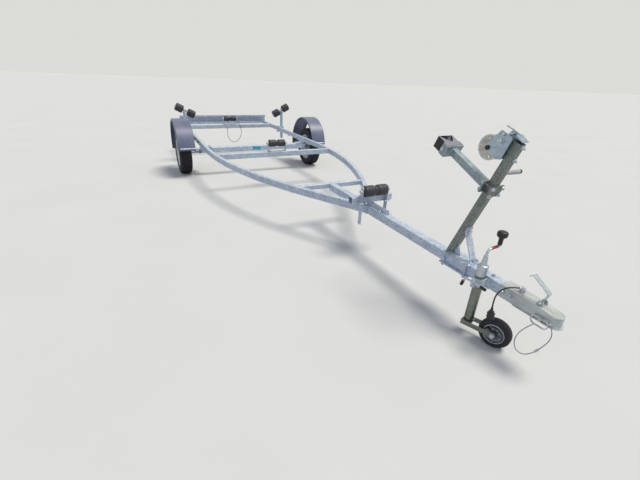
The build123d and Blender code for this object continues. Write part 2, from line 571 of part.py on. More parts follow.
front_foot = POST_FOOT_Y - POST_SIZE / 2 / math.cos(lean)
gusset = side_profile([(front_foot, PLATE_TOP), (front_foot - GUSSET_LENGTH, PLATE_TOP),
                       (front_foot - GUSSET_HEIGHT * math.tan(lean), PLATE_TOP + GUSSET_HEIGHT)], (-3, 3))
upper_plate = plan_profile(base_outline, (RAIL_TOP, PLATE_TOP)) + gusset
lower_plate = plan_profile(base_outline, (DRAWBAR_BOTTOM - BASE_THICKNESS, DRAWBAR_BOTTOM))
BASE_BOLT_X = half_base - 8
for x in (-BASE_BOLT_X, BASE_BOLT_X):
    for y in (BASE_REAR - 24, BASE_FRONT + 24):
        lower_plate = lower_plate + bar_z(5, x, y, (DRAWBAR_BOTTOM - BASE_THICKNESS - 10, RAIL_TOP))
parts["winch_post_base"] = Compound([upper_plate.solid(), lower_plate.solid()])

STRIP = 6.0
stay_line = [(-POST_SIZE - STRIP / 2, POST_STAY_HEIGHT + 30), (-POST_SIZE - STRIP / 2, POST_STAY_HEIGHT)]
stay_top = [(POST_FOOT_Y + (v + POST_SIZE / 2) * math.cos(lean) - u * math.sin(lean),
             PLATE_TOP + (v + POST_SIZE / 2) * math.sin(lean) + u * math.cos(lean)) for v, u in stay_line]
parts["winch_post_stay"] = bent_strip(
    stay_top + [(POST_STAY_FOOT, PLATE_TOP + 24), (POST_STAY_FOOT, PLATE_TOP + STRIP / 2),
                (BASE_FRONT, PLATE_TOP + STRIP / 2)], STRIP, (-20, 20))

# Bow stop arm, clamped to the post between two plates with four bolts, and the notched rubber stop

CLAMP_PLATE = 8.0
CLAMP_HALF_WIDTH = 44.0
CLAMP_HALF_HEIGHT = 31.0
CLAMP_BOLT_X = 33.0
CLAMP_BOLT_Z = 20.0
clamp_limits = (ARM_HEIGHT_ON_POST - CLAMP_HALF_HEIGHT, ARM_HEIGHT_ON_POST + CLAMP_HALF_HEIGHT)
rear_plate = box((-CLAMP_HALF_WIDTH, CLAMP_HALF_WIDTH), (0, CLAMP_PLATE), clamp_limits)
front_plate = box((-CLAMP_HALF_WIDTH, CLAMP_HALF_WIDTH), (-POST_SIZE - CLAMP_PLATE, -POST_SIZE), clamp_limits)
for x in (-CLAMP_BOLT_X, CLAMP_BOLT_X):
    for z in (ARM_HEIGHT_ON_POST - CLAMP_BOLT_Z, ARM_HEIGHT_ON_POST + CLAMP_BOLT_Z):
        front_plate = front_plate + bar_y(5, x, (-POST_SIZE - CLAMP_PLATE - 10, 0), z)
parts["bow_arm_front_clamp"] = on_post * front_plate

arm_from_post = on_post * Pos(0, CLAMP_PLATE, ARM_HEIGHT_ON_POST) * Rot(ARM_SLOPE - POST_LEAN, 0, 0)
arm_section = Plane.XZ * tube_section(ARM_SIZE, ARM_SIZE, 3.0)
arm_tube = Pos(0, -ARM_SIZE, 0) * extrude(arm_section, ARM_LENGTH + ARM_SIZE, dir=(0, 1, 0))
ahead = on_post * box((-STOP_WIDTH, STOP_WIDTH), (-POST_LENGTH, CLAMP_PLATE), (0, POST_LENGTH))
parts["bow_arm"] = (arm_from_post * arm_tube - ahead) + on_post * rear_plate

half_stop = STOP_HEIGHT / 2
half_width = STOP_WIDTH / 2
STOP_BOLT_RADIUS = 5.0
STOP_BOLT_Y = 25.0
BRACKET_REACH = 40.0
bracket_half = half_width + STOP_BRACKET
stop_bracket = box((-bracket_half, bracket_half), (0, STOP_BRACKET), (-half_stop, half_stop))
for x in (-bracket_half, half_width):
    stop_bracket = stop_bracket + box((x, x + STOP_BRACKET), (0, BRACKET_REACH), (-half_stop, half_stop))
stop_bracket = stop_bracket + bar_x(STOP_BOLT_RADIUS, (-bracket_half - 6, bracket_half + 6), STOP_BOLT_Y, 0)
on_arm_end = arm_from_post * Pos(0, ARM_LENGTH, 0)
parts["bow_stop_bracket"] = on_arm_end * stop_bracket
NOTCH_DEPTH = 52.0
NOTCH_FLOOR = 8.0
WING_TIP = 10.0
STOP_REAR = STOP_BRACKET + STOP_DEPTH
stop_outline = Polygon(
    (-half_width, STOP_BRACKET), (half_width, STOP_BRACKET), (half_width, STOP_REAR),
    (half_width - WING_TIP, STOP_REAR), (NOTCH_FLOOR, STOP_REAR - NOTCH_DEPTH),
    (-NOTCH_FLOOR, STOP_REAR - NOTCH_DEPTH), (-half_width + WING_TIP, STOP_REAR), (-half_width, STOP_REAR),
    align=None)
stop_block = plan_profile(stop_outline, (-half_stop, half_stop))
stop_block = stop_block - bar_x(STOP_BOLT_RADIUS + PIECE_GAP, (-half_width, half_width), STOP_BOLT_Y, 0)
parts["bow_stop_block"] = on_arm_end * stop_block

# Winch: a frame folded from one sheet, a geared drum, and the crank shaft with its pinion. Heights are
# counted from the frame's foot, and the frame's back lies on the post's rear face

CENTRE_DISTANCE = GEAR_MODULE * (DRUM_TEETH + PINION_TEETH) / 2
DRUM_PLACE = (84.0, 12.0)
PINION_RISE = 52.0
PINION_PLACE = (DRUM_PLACE[0] - CENTRE_DISTANCE * math.cos(math.radians(PINION_RISE)),
                DRUM_PLACE[1] + CENTRE_DISTANCE * math.sin(math.radians(PINION_RISE)))
DRUM_SHAFT = 8.0
CRANK_SHAFT = 9.0
TIE_PLACE = (45.0, 98.0)
TONGUE_HALF = 20.5
CHEEK_CORNER = 7.0
on_winch = on_post * Pos(0, 0, WINCH_HEIGHT_ON_POST)
cheek_points = [(-6, 2), (20, -8), (88, -4), (98, 6), (99, 20), (64, 112), (4, 107), (-4, 98)]
near = (-WINCH_HALF_WIDTH, -WINCH_HALF_WIDTH + WINCH_PLATE)
far = (WINCH_HALF_WIDTH - WINCH_PLATE, WINCH_HALF_WIDTH)
winch_frame = box((near[0], far[1]), (0, WINCH_PLATE), (2, 98))
cheek_outline = Polygon(*cheek_points, align=None)
cheek_outline = fillet(cheek_outline.vertices(), CHEEK_CORNER)
winch_frame = winch_frame + side_outline(cheek_outline, near) + side_outline(cheek_outline, far)
winch_frame = winch_frame + bar_x(5, (near[1], far[0]), *TIE_PLACE)
winch_frame = winch_frame + bent_strip([(WINCH_PLATE / 2, 90), (WINCH_PLATE / 2, 119), (-41, 106)], WINCH_PLATE,
                                       (-TONGUE_HALF, TONGUE_HALF))
winch_frame = winch_frame - bar_x(CRANK_SHAFT + RUNNING_CLEARANCE, (near[0], far[1]), *PINION_PLACE)
winch_frame = winch_frame + bar_x(DRUM_SHAFT, (near[0] - 7, far[1] + 7), *DRUM_PLACE)
parts["winch_frame"] = on_winch * winch_frame


def gear_outline(teeth):
    """Outline of a spur gear, with each involute flank drawn through its foot, pitch circle and tip."""
    pitch = GEAR_MODULE * teeth / 2
    base = pitch * math.cos(math.radians(PRESSURE_ANGLE))
    half_tooth = math.pi / 2 / teeth - BACKLASH / pitch

    def involute(radius):
        angle = math.acos(min(base / radius, 1.0))
        return math.tan(angle) - angle

    radii = (pitch - 1.25 * GEAR_MODULE, pitch, pitch + 0.9 * GEAR_MODULE)
    flank = [(radius, half_tooth + involute(pitch) - involute(radius)) for radius in radii]
    tooth = [(radius, -offset) for radius, offset in flank] + [(radius, offset) for radius, offset in flank[::-1]]
    points = []
    for i in range(teeth):
        for radius, offset in tooth:
            angle = 2 * math.pi * i / teeth + offset
            points.append((radius * math.cos(angle), radius * math.sin(angle)))
    return Polygon(*points, align=None)


GEAR_X = (22.0, 30.0)
FLANGE_X = (-30.0, -26.0)
FLANGE_RADIUS = 58.0
BARREL_RADIUS = 20.0
HOLE_CIRCLE = 42.0
# One drum tooth points at the pinion, and one of the pinion's gaps at the drum
to_pinion = 180 - PINION_RISE
to_drum = to_pinion + 180 + 180 / PINION_TEETH
drum = Rot(to_pinion, 0, 0) * side_outline(gear_outline(DRUM_TEETH), GEAR_X)
drum = drum + bar_x(BARREL_RADIUS, (FLANGE_X[1], GEAR_X[0]), 0, 0) + bar_x(FLANGE_RADIUS, FLANGE_X, 0, 0)
for angle in (60, 240):
    drum = drum - Rot(angle, 0, 0) * bar_x(5, (FLANGE_X[0] - 1, FLANGE_X[1] + 1), HOLE_CIRCLE, 0)
drum = drum - bar_x(DRUM_SHAFT + RUNNING_CLEARANCE, (FLANGE_X[0] - 1, GEAR_X[1] + 1), 0, 0)
parts["winch_drum"] = on_winch * Pos(0, *DRUM_PLACE) * drum

CRANK_X = (82.0, 90.0)
CRANK_WIDTH = 26.0
CRANK_TURN = -12.5
GRIP_PIN = 5.0
GRIP_RADIUS = 11.0
GRIP_LENGTH = 104.0
at_grip = Rot(CRANK_TURN, 0, 0) * Pos(0, 0, -CRANK_ARM)
pinion_x = (GEAR_X[0] - 1, GEAR_X[1] + 1)
crank = Rot(to_drum, 0, 0) * side_outline(gear_outline(PINION_TEETH), pinion_x)
crank = crank + bar_x(CRANK_SHAFT, (near[0] - 8, CRANK_X[1]), 0, 0)
crank_outline = make_hull((Circle(CRANK_WIDTH / 2) + Pos(0, -CRANK_ARM) * Circle(CRANK_WIDTH / 2 - 3)).edges())
crank = crank + Rot(CRANK_TURN, 0, 0) * side_outline(crank_outline, CRANK_X)
crank = crank + at_grip * bar_x(GRIP_PIN, (CRANK_X[0], CRANK_X[1] + GRIP_LENGTH + 6), 0, 0)
to_crank = on_winch * Pos(0, *PINION_PLACE)
parts["winch_crank"] = to_crank * crank
grip_x = (CRANK_X[1] + 2, CRANK_X[1] + 2 + GRIP_LENGTH)
grip = bar_x(GRIP_RADIUS, grip_x, 0, 0) - bar_x(GRIP_PIN + RUNNING_CLEARANCE, grip_x, 0, 0)
parts["winch_grip"] = to_crank * at_grip * grip

PAWL_X = WINCH_HALF_WIDTH + 6
pawl = bent_rod([(PAWL_X, 38, 96), (PAWL_X, 60, 108), (PAWL_X, 108, 107)], 4, 10)
pawl = pawl + bar_x(6, (WINCH_HALF_WIDTH, PAWL_X + 6), 36, 95)
parts["winch_pawl"] = on_winch * pawl

# Coupling: a pressed shell over the drawbar's end with a ball socket in its nose, and its lift handle

NOSE_Y = BALL_Y - COUPLING_NOSE_RADIUS
TAPER_START = DRAWBAR_FRONT - 25
SLOPE_START = -4240.0
LIP = 7.0


def coupling_plan(inset, front):
    """Plan of the coupling: straight over the drawbar, tapering towards the ball; front is where it ends."""
    rear_half = HALF_DRAWBAR + COUPLING_WALL - inset
    front_half = COUPLING_NOSE_RADIUS - inset
    return Polygon((-rear_half, COUPLING_REAR), (rear_half, COUPLING_REAR), (rear_half, TAPER_START),
                   (front_half, front), (-front_half, front), (-rear_half, TAPER_START), align=None)


def coupling_side(inset):
    """The coupling's side view, inset from its top, as a block wider than the coupling."""
    top = COUPLING_TOP - inset
    nose_top = COUPLING_NOSE_TOP - inset
    return side_profile([(COUPLING_REAR + 1, 0), (COUPLING_REAR + 1, top), (SLOPE_START, top), (NOSE_Y - 9, nose_top),
                         (NOSE_Y - 9, 0)], (-DRAWBAR_WIDTH, DRAWBAR_WIDTH))


whole = (COUPLING_BOTTOM, COUPLING_TOP)
shell_plan = coupling_plan(0, BALL_Y) + Pos(0, BALL_Y) * Circle(COUPLING_NOSE_RADIUS)
lip_plan = coupling_plan(-LIP, BALL_Y) + Pos(0, BALL_Y) * Circle(COUPLING_NOSE_RADIUS + LIP)
behind = box((-100, 100), (TAPER_START + 20, COUPLING_REAR + 10), whole)
shell = plan_profile(shell_plan, whole) & coupling_side(0)
shell = shell + (plan_profile(lip_plan, (COUPLING_BOTTOM, COUPLING_BOTTOM + COUPLING_WALL)) - behind)
over_drawbar = box((-HALF_DRAWBAR, HALF_DRAWBAR), (DRAWBAR_FRONT, COUPLING_REAR + 2), (0, RAIL_TOP))
socket_radius = BALL_RADIUS + 0.25
neck_end = BALL_Y + socket_radius + 7
neck = plan_profile(coupling_plan(COUPLING_WALL + 2, neck_end), (0, COUPLING_TOP)) & coupling_side(COUPLING_WALL + 1)
neck = neck & box((-100, 100), (neck_end, DRAWBAR_FRONT + 1), (0, COUPLING_TOP))
socket = Pos(0, BALL_Y, BALL_Z) * Sphere(socket_radius)
socket = socket + bar_z(socket_radius, 0, BALL_Y, (COUPLING_BOTTOM - 1, BALL_Z))
PIVOT = (-4296.0, 467.0)
PIVOT_RADIUS = 4.0
HANDLE_HALF = 13.0
HANDLE_WALL = 4.0
lug_points = [(PIVOT[0] - 22, 440), (PIVOT[0] - 10, PIVOT[1] + 9), (PIVOT[0] + 10, PIVOT[1] + 9), (PIVOT[0] + 22, 446)]
lugs = side_profile(lug_points, (HANDLE_HALF + 1, HANDLE_HALF + 5))
lugs = lugs + mirrored(lugs) - bar_x(PIVOT_RADIUS + RUNNING_CLEARANCE, (-30, 30), *PIVOT)
HOOK_BOLT = (-4330.0, 411.0)
HOOK_BOLT_RADIUS = 4.0
HOOK_X = (-46.5, -41.5)
hook_bolt = bar_x(HOOK_BOLT_RADIUS, (HOOK_X[0] - 2, -COUPLING_NOSE_RADIUS + 3), *HOOK_BOLT)
hook_bolt = hook_bolt + bar_x(HOOK_BOLT_RADIUS + 3, (HOOK_X[0] - 6, HOOK_X[0] - 1.5), *HOOK_BOLT)
CABLE_LUG = (-4374.0, 415.0)
cable_lug = bar_x(HOOK_BOLT_RADIUS, (HOOK_X[0] - 2, -COUPLING_NOSE_RADIUS + 3), *CABLE_LUG)
parts["coupling_body"] = shell + lugs - over_drawbar - neck - socket + hook_bolt + cable_lug
handle_line = [PIVOT, (-4311, 518), (-4226, 569), (-4212, 556)]
handle = bent_strip(handle_line, HANDLE_WALL, (-HANDLE_HALF, HANDLE_HALF))
handle = handle + bar_x(PIVOT_RADIUS, (-HANDLE_HALF - 5, HANDLE_HALF + 5), *PIVOT)
parts["coupling_handle"] = handle

# Jockey wheel: outer tube in a clamp on the drawbar's side, crank on top, sliding inner tube, fork and wheel.
# It is drawn about its own upright axis

JOCKEY_X = -(HALF_DRAWBAR + CLAMP_SLEEVE + JOCKEY_TUBE_RADIUS + 1)
at_jockey = Pos(JOCKEY_X, JOCKEY_Y, 0)
tube_bore = JOCKEY_TUBE_RADIUS - JOCKEY_TUBE_WALL
END_CAP = 10.0
outer = bar_z(JOCKEY_TUBE_RADIUS, 0, 0, (JOCKEY_TUBE_BOTTOM, JOCKEY_TUBE_TOP))
outer = outer - bar_z(tube_bore, 0, 0, (0, JOCKEY_TUBE_TOP - END_CAP))
parts["jockey_outer_tube"] = at_jockey * outer

CRANK_RISE = 84.0
CRANK_REACH = 78.0
ROD_RADIUS = 6.5
crank_top = JOCKEY_TUBE_TOP + CRANK_RISE
crank = bent_rod([(0, 0, JOCKEY_TUBE_TOP), (0, 0, crank_top), (CRANK_REACH, 0, crank_top + 6)], ROD_RADIUS, 26)
crank = crank + bar_z(14, 0, 0, (JOCKEY_TUBE_TOP, JOCKEY_TUBE_TOP + 8))
crank = crank + bar_z(9, 0, 0, (JOCKEY_TUBE_TOP, JOCKEY_TUBE_TOP + 50))
parts["jockey_crank"] = at_jockey * crank
knob_points = [(0, 0), (11, 0), (11, 38), (24, 62), (25, 74), (18, 84), (0, 86)]
knob = Pos(CRANK_REACH, 0, crank_top + 6 + ROD_RADIUS + PIECE_GAP) * revolve(
    Plane.XZ * Polygon(*knob_points, align=None), Axis.Z)
parts["jockey_knob"] = at_jockey * knob

CLAMP_Z = (RAIL_TOP - 52, RAIL_TOP - 8)
LEVER_RADIUS = 5.0
side_gap = -JOCKEY_X - HALF_DRAWBAR
tube_hole = bar_z(JOCKEY_TUBE_RADIUS, 0, 0, (0, JOCKEY_TUBE_TOP))
jockey_clamp = bar_z(JOCKEY_TUBE_RADIUS + CLAMP_SLEEVE, 0, 0, CLAMP_Z)
jockey_clamp = jockey_clamp + box((0, side_gap), (-JOCKEY_TUBE_RADIUS, JOCKEY_TUBE_RADIUS), CLAMP_Z)
jockey_clamp = jockey_clamp + box((side_gap - 5, side_gap), (-45, 45), (RAIL_TOP - 58, RAIL_TOP))
jockey_clamp = jockey_clamp + box((side_gap - 5, side_gap + 48), (-45, 45), (RAIL_TOP, RAIL_TOP + 5))
ears_x = -JOCKEY_TUBE_RADIUS - 26
jockey_clamp = jockey_clamp + box((ears_x, -JOCKEY_TUBE_RADIUS), (-9, 9), CLAMP_Z)
lever_x = -JOCKEY_TUBE_RADIUS - 15
lever_z = RAIL_TOP - 30
jockey_clamp = jockey_clamp - tube_hole - bar_y(LEVER_RADIUS + RUNNING_CLEARANCE, lever_x, (-40, 40), lever_z)
parts["jockey_clamp"] = at_jockey * jockey_clamp
lever = bent_rod([(lever_x, -72, lever_z), (lever_x, 52, lever_z), (lever_x, 62, lever_z - 38)], LEVER_RADIUS, 12)
parts["jockey_clamp_handle"] = at_jockey * lever

INNER_RADIUS = tube_bore - PIECE_GAP
INNER_WALL = 3.0
STEM_RADIUS = 10.0
BUSH = 12.0
FORK_WALL = 4.0
CROWN_TOP = JOCKEY_TUBE_BOTTOM - 2
inner_z = (CROWN_TOP + PIECE_GAP, JOCKEY_TUBE_TOP - END_CAP - 20)
inner = bar_z(INNER_RADIUS, 0, 0, inner_z) - bar_z(INNER_RADIUS - INNER_WALL, 0, 0, (inner_z[0] + BUSH, inner_z[1]))
inner = inner - bar_z(STEM_RADIUS + RUNNING_CLEARANCE, 0, 0, (0, inner_z[1]))
parts["jockey_inner_tube"] = at_jockey * inner

fork_turn = math.radians(JOCKEY_TURN)
hub_x = JOCKEY_X + JOCKEY_TRAIL * math.sin(fork_turn)
hub_y = JOCKEY_Y - JOCKEY_TRAIL * math.cos(fork_turn)
HUB_Z = TYRE_RADIUS + (JOCKEY_WHEEL_RADIUS - TYRE_RADIUS - hub_y * math.sin(slope)) / math.cos(slope)
fork_half = JOCKEY_WHEEL_WIDTH / 2 + 6
AXLE_BOLT = 6.0
collar_z = inner_z[0] + BUSH + PIECE_GAP
fork = box((-fork_half - FORK_WALL, fork_half + FORK_WALL), (-28, 26), (CROWN_TOP - FORK_WALL, CROWN_TOP))
fork = fork + bar_z(STEM_RADIUS, 0, 0, (CROWN_TOP, collar_z + 6))
fork = fork + bar_z(INNER_RADIUS - INNER_WALL - 3, 0, 0, (collar_z, collar_z + 6))
fork_side = [(26, CROWN_TOP), (26, CROWN_TOP - 26), (-JOCKEY_TRAIL, HUB_Z - 16), (-JOCKEY_TRAIL - 16, HUB_Z),
             (-JOCKEY_TRAIL, HUB_Z + 14), (-28, CROWN_TOP)]
for x in (-fork_half - FORK_WALL, fork_half):
    fork = fork + side_profile(fork_side, (x, x + FORK_WALL))
bolt_reach = fork_half + FORK_WALL + 8
fork = fork + bar_x(AXLE_BOLT, (-bolt_reach, bolt_reach), -JOCKEY_TRAIL, HUB_Z)
parts["jockey_fork"] = at_jockey * Rot(0, 0, JOCKEY_TURN) * fork

half_wheel = JOCKEY_WHEEL_WIDTH / 2
at_hub = Pos(hub_x, hub_y, HUB_Z) * Rot(0, 0, JOCKEY_TURN)
half_rim = [(29, AXLE_BOLT + RUNNING_CLEARANCE), (29, 14), (12, 18), (8, JOCKEY_RIM_RADIUS - 10),
            (half_wheel - 3, JOCKEY_RIM_RADIUS - 3), (half_wheel - 3, JOCKEY_RIM_RADIUS)]
half_tyre = [(half_wheel - 3, JOCKEY_RIM_RADIUS), (half_wheel, JOCKEY_RIM_RADIUS + 6),
             (half_wheel, JOCKEY_WHEEL_RADIUS - 12), (half_wheel - 8, JOCKEY_WHEEL_RADIUS - 2),
             (10, JOCKEY_WHEEL_RADIUS)]
for name, half in (("jockey_rim", half_rim), ("jockey_tyre", half_tyre)):
    outline = half + [(-x, radius) for x, radius in half[::-1]]
    parts[name] = at_hub * revolve(Polygon(*outline, align=None), Axis.X)

# Cords: each route is a list of points chosen by hand, with straight runs joined by arcs as large as they allow


def cord(name, points, diameter):
    """A round cord; each arc has 0.45 of its shorter run over the tangent of half the turn as its radius."""
    route = [Vector(*point) for point in points]
    radii = []
    for a, b, c in zip(route, route[1:], route[2:]):
        turn = math.radians((b - a).get_angle(c - b))
        radii.append(0.45 * min((b - a).length, (c - b).length) / math.tan(turn / 2))
    path = FilletPolyline(*route, radius=radii)
    solid = sweep(Plane(origin=path @ 0, z_dir=path % 0) * Circle(diameter / 2), path=path)
    drawn = math.pi * diameter ** 2 / 4 * path.length
    print(name, "length", round(path.length), "radii", [round(radius) for radius in radii],
          "volume ratio", round(solid.volume / drawn, 3))
    return solid


PLUG_CABLE = 7.0
SAFETY_CABLE = 4.0
LIGHT_CABLE = 7.0
plug_route = [(-14, -4186, 478), (-40, -4163, 476), (-70, -4146, 462), (-95, -4140, 436), (-110, -4146, 405),
              (-115, -4152, 376)]
parts["plug_cable"] = cord("plug_cable", plug_route, PLUG_CABLE)
safety_route = [(-44, -4306, 364), (-50, -4285, 332), (-58, -4269, 288), (-60, -4267, 243), (-60, -4286, 209),
                (-57, -4321, 207), (-52, -4354, 243), (-48, -4377, 290), (-45, -4396, 342), (-44, -4396, 388),
                (-44, -4376, 410.5)]
parts["safety_cable"] = cord("safety_cable", safety_route, SAFETY_CABLE)
light_route = [(120, 1263, 507), (131, 1249, 485), (150, 1244, 450), (168, 1243, 398), (176, 1243, 338),
               (166, 1243, 278), (138, 1243, 222), (95, 1243, 178), (40, 1243, 163), (-12, 1243, 185),
               (-47, 1245, 232), (-64, 1250, 288), (-62, 1262, 340), (-55, 1276, 382)]
parts["light_cable"] = cord("light_cable", light_route, LIGHT_CABLE)

# What the cords come out of and what hangs on them


def turned_along(start, toward, profile):
    """Turns a profile of (distance, radius) pairs about the line from start in the direction toward."""
    outline = Polygon((0, profile[0][0]), *[(radius, along) for along, radius in profile], (0, profile[-1][0]),
                      align=None)
    plane = Plane(origin=start, z_dir=toward)
    return plane.location * revolve(Plane.XZ * outline, Axis.Z)


def heading(route):
    """Direction of a route's last run."""
    return Vector(*route[-1]) - Vector(*route[-2])


PLUG_PROFILE = [(0, 5), (16, 7), (17, 12), (25, 13), (26, 16.5), (50, 17), (57, 15.5)]
parts["plug"] = turned_along(plug_route[-1], heading(plug_route), PLUG_PROFILE)
into_gland = heading(plug_route[1::-1])
GLAND_PROFILE = [(0, 5.5), (4, 8), (12, 8.5), (13, 10), (20, 10)]
coupling_gland = turned_along(plug_route[0], into_gland, GLAND_PROFILE)
gland_foot = Vector(*plug_route[0]) + into_gland.normalized() * 18
coupling_gland = coupling_gland + bar_z(10, gland_foot.X, gland_foot.Y, (COUPLING_TOP, gland_foot.Z + 2))
member_gland = turned_along(light_route[-1], heading(light_route), [(0, 5.5), (3, 8), (30, 8.5)])
member_gland = member_gland - box((-100, 100), (REAR_CROSS_Y - 60, REAR_CROSS_Y + 60), (DRAWBAR_BOTTOM, 600))
ear_face = EAR_X + EAR_THICKNESS / 2
ear_gland = turned_along(light_route[0], heading(light_route[1::-1]), [(0, 5), (9, 5.5)])
ear_gland = ear_gland + box((ear_face, ear_face + 15.5), (light_route[0][1] + 3.5, REAR_CROSS_Y + 7), (503, 521))
parts["cable_glands"] = Compound([coupling_gland.solid(), member_gland.solid(), ear_gland.solid()])
HOOK_LENGTH = 82.0
HOOK_HEIGHT = 46.0
HOOK_WIRE = 5.0
hook_z = HOOK_BOLT[1] + HOOK_BOLT_RADIUS + PIECE_GAP + HOOK_WIRE - HOOK_HEIGHT / 2
hook_outline = SlotOverall(HOOK_LENGTH, HOOK_HEIGHT) - SlotOverall(HOOK_LENGTH - 2 * HOOK_WIRE,
                                                                   HOOK_HEIGHT - 2 * HOOK_WIRE)
snap_hook = Pos(0, HOOK_BOLT[0], hook_z) * side_outline(hook_outline, HOOK_X)
ferrule = turned_along(safety_route[0], heading(safety_route[1::-1]), [(0, 3), (13, 3.5)])
parts["snap_hook"] = snap_hook + ferrule


# Place the trailer on its three wheels, with the origin on the ground under the middle of its rigid pieces

lean_down = Pos(0, 0, TYRE_RADIUS) * Rot(NOSE_DOWN, 0, 0) * Pos(0, 0, -TYRE_RADIUS)
front_end = (lean_down * parts["coupling_body"]).bounding_box().min.Y
rear_end = (lean_down * parts["tail_lamps"]).bounding_box().max.Y
ORIGIN_Y = (front_end + rear_end) / 2
as_parked = Pos(0, -ORIGIN_Y, 0) * lean_down

os.makedirs("parts", exist_ok=True)
for name, part in parts.items():
    export_step(as_parked * part, "parts/" + name + ".step")
print("pieces", len(parts), "front", front_end, "rear", rear_end, "origin", ORIGIN_Y)
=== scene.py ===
# %% [markdown]
# # A boat trailer, finished in Blender
# The solids come from the CAD model. This notebook gives them their finishes and adds what CAD leaves out:
# tyre treads, rounded rubber, nuts and bolts, weld beads, lamp lenses. New pieces are drawn in millimetres
# with the frame level, as such frames are drawn, and one function carries them to the parked trailer, whose
# nose is a little lower than its tail.

# %% The frame
import math

import bmesh
import bpy
import numpy as np
from mathutils import Matrix, Vector


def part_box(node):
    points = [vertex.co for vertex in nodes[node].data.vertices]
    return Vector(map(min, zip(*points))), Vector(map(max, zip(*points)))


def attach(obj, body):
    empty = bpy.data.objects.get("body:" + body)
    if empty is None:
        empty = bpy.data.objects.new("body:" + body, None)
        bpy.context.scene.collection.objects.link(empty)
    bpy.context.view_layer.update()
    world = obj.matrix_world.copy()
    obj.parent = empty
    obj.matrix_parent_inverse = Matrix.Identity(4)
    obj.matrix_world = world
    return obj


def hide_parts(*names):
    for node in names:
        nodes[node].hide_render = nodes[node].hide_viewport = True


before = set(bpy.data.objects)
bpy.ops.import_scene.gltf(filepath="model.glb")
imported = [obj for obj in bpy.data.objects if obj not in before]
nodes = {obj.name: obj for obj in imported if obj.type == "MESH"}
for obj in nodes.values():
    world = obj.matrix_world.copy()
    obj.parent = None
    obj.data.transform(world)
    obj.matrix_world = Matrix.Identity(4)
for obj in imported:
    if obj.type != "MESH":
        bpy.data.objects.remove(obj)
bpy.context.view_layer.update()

# %% [markdown]
# ## From level drawing to parked trailer
# Parked on its jockey wheel, the frame slopes by 1.486 degrees, about the line that the level drawing calls
# y = 0, at the height of a tyre's radius, 110 mm ahead of the wheels' axis. So a point of the level drawing
# turns by the slope, and then moves by as much as brings that axis to its real place.

# %% Level and parked
NOSE_DOWN = 1.486
TYRE_RADIUS = 273.5
WHEEL_X = 935.0
WHEEL_Y = 110.0
WHEEL_Z = TYRE_RADIUS - WHEEL_Y * math.tan(math.radians(NOSE_DOWN))
wheel_low, wheel_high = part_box("tyre_left")
WHEEL_CENTRE = (Vector(wheel_low) + Vector(wheel_high)) / 2
LEAN_AT = (0, WHEEL_CENTRE.y - WHEEL_Y / 1000 / math.cos(math.radians(NOSE_DOWN)), WHEEL_CENTRE.z)


def turned(points, axis, degrees, at=(0, 0, 0)):
    """Turns points about axis 0, 1 or 2, that is X, Y or Z, then moves them to at. With b and c the two ways
    that follow the axis in turn, b' = b cos - c sin and c' = b sin + c cos."""
    points = np.array(points, float)
    b, c = (axis + 1) % 3, (axis + 2) % 3
    cosine, sine = math.cos(math.radians(degrees)), math.sin(math.radians(degrees))
    points[..., [b, c]] = np.stack([points[..., b] * cosine - points[..., c] * sine,
                                    points[..., b] * sine + points[..., c] * cosine], axis=-1)
    return points + np.asarray(at, float)


def parked(points):
    """Millimetres on the level frame to metres on the parked one."""
    level = np.asarray(points, float) - (0, 0, TYRE_RADIUS)
    return turned(level, 0, NOSE_DOWN) / 1000 + LEAN_AT


print("wheel axis at", [round(v, 4) for v in WHEEL_CENTRE])

# %% [markdown]
# ## Leaning parts
# The winch post leans, its arm rises from it, the side rollers' heads tilt and the jockey wheel's fork is
# swung to one side. Each is easier to draw straight, so each has a function that takes its own drawing to
# the level frame. The winch post's drawing has y rearwards from the post's rear face and z up along the
# post.

# %% Places of the leaning parts
POST_LEAN = 19.5
POST_FOOT = (0, -3755, 462)
POST_HALF = 20.0
ARM_RISE = 5.0
ARM_ROOT = (0, 8, 432)
ARM_LONG = 272.0
WINCH_HEIGHT = 583.0
SIDE_TILT = 27.0
PIVOT = (772.5, 880, 688)
JOCKEY_AT = (-60, -4013, 0)
JOCKEY_TURN = 18.0
JOCKEY_HUB = (0, -140, 187.5)


def on_post(points):
    """From the winch post's own drawing to the level frame."""
    return turned(points + (0, POST_HALF, 0), 0, POST_LEAN, POST_FOOT)


def on_winch(points):
    """From the winch's own drawing, which starts at its frame's foot."""
    return on_post(points + (0, 0, WINCH_HEIGHT))


def on_arm_end(points):
    """From a drawing at the far end of the bow stop's arm."""
    return on_post(turned(points + (0, ARM_LONG, 0), 0, ARM_RISE, ARM_ROOT))


def on_head(points):
    """From the left side roller head's drawing, about its pivot."""
    return turned(points, 1, -SIDE_TILT, PIVOT)


def on_fork(points):
    """From the jockey fork's drawing, about the jockey tube's axis."""
    return turned(points, 2, JOCKEY_TURN, JOCKEY_AT)


print("jockey hub at", np.round(parked(on_fork([JOCKEY_HUB])), 4).tolist())

# %% [markdown]
# ## The camera
# The camera stands to the trailer's right, ahead of its coupling, at chest height, with a wide lens. Its
# own axes come from three facts: where it stands, where it looks and which way is up in the picture.

# %% Camera
CAMERA_AT = Vector((-1.4898, -3.6667, 1.2096))
CAMERA_LOOKS = Vector((0.42425, 0.80663, -0.41153)).normalized()
CAMERA_UP = Vector((0.15827, 0.38141, 0.91075))
LENS_MM = 19.75
SENSOR_MM = 36.0
SEES_TO = 1500.0


def new_object(name, data):
    """A new object, shown in the scene."""
    made = bpy.data.objects.new(name, data)
    bpy.context.collection.objects.link(made)
    return made


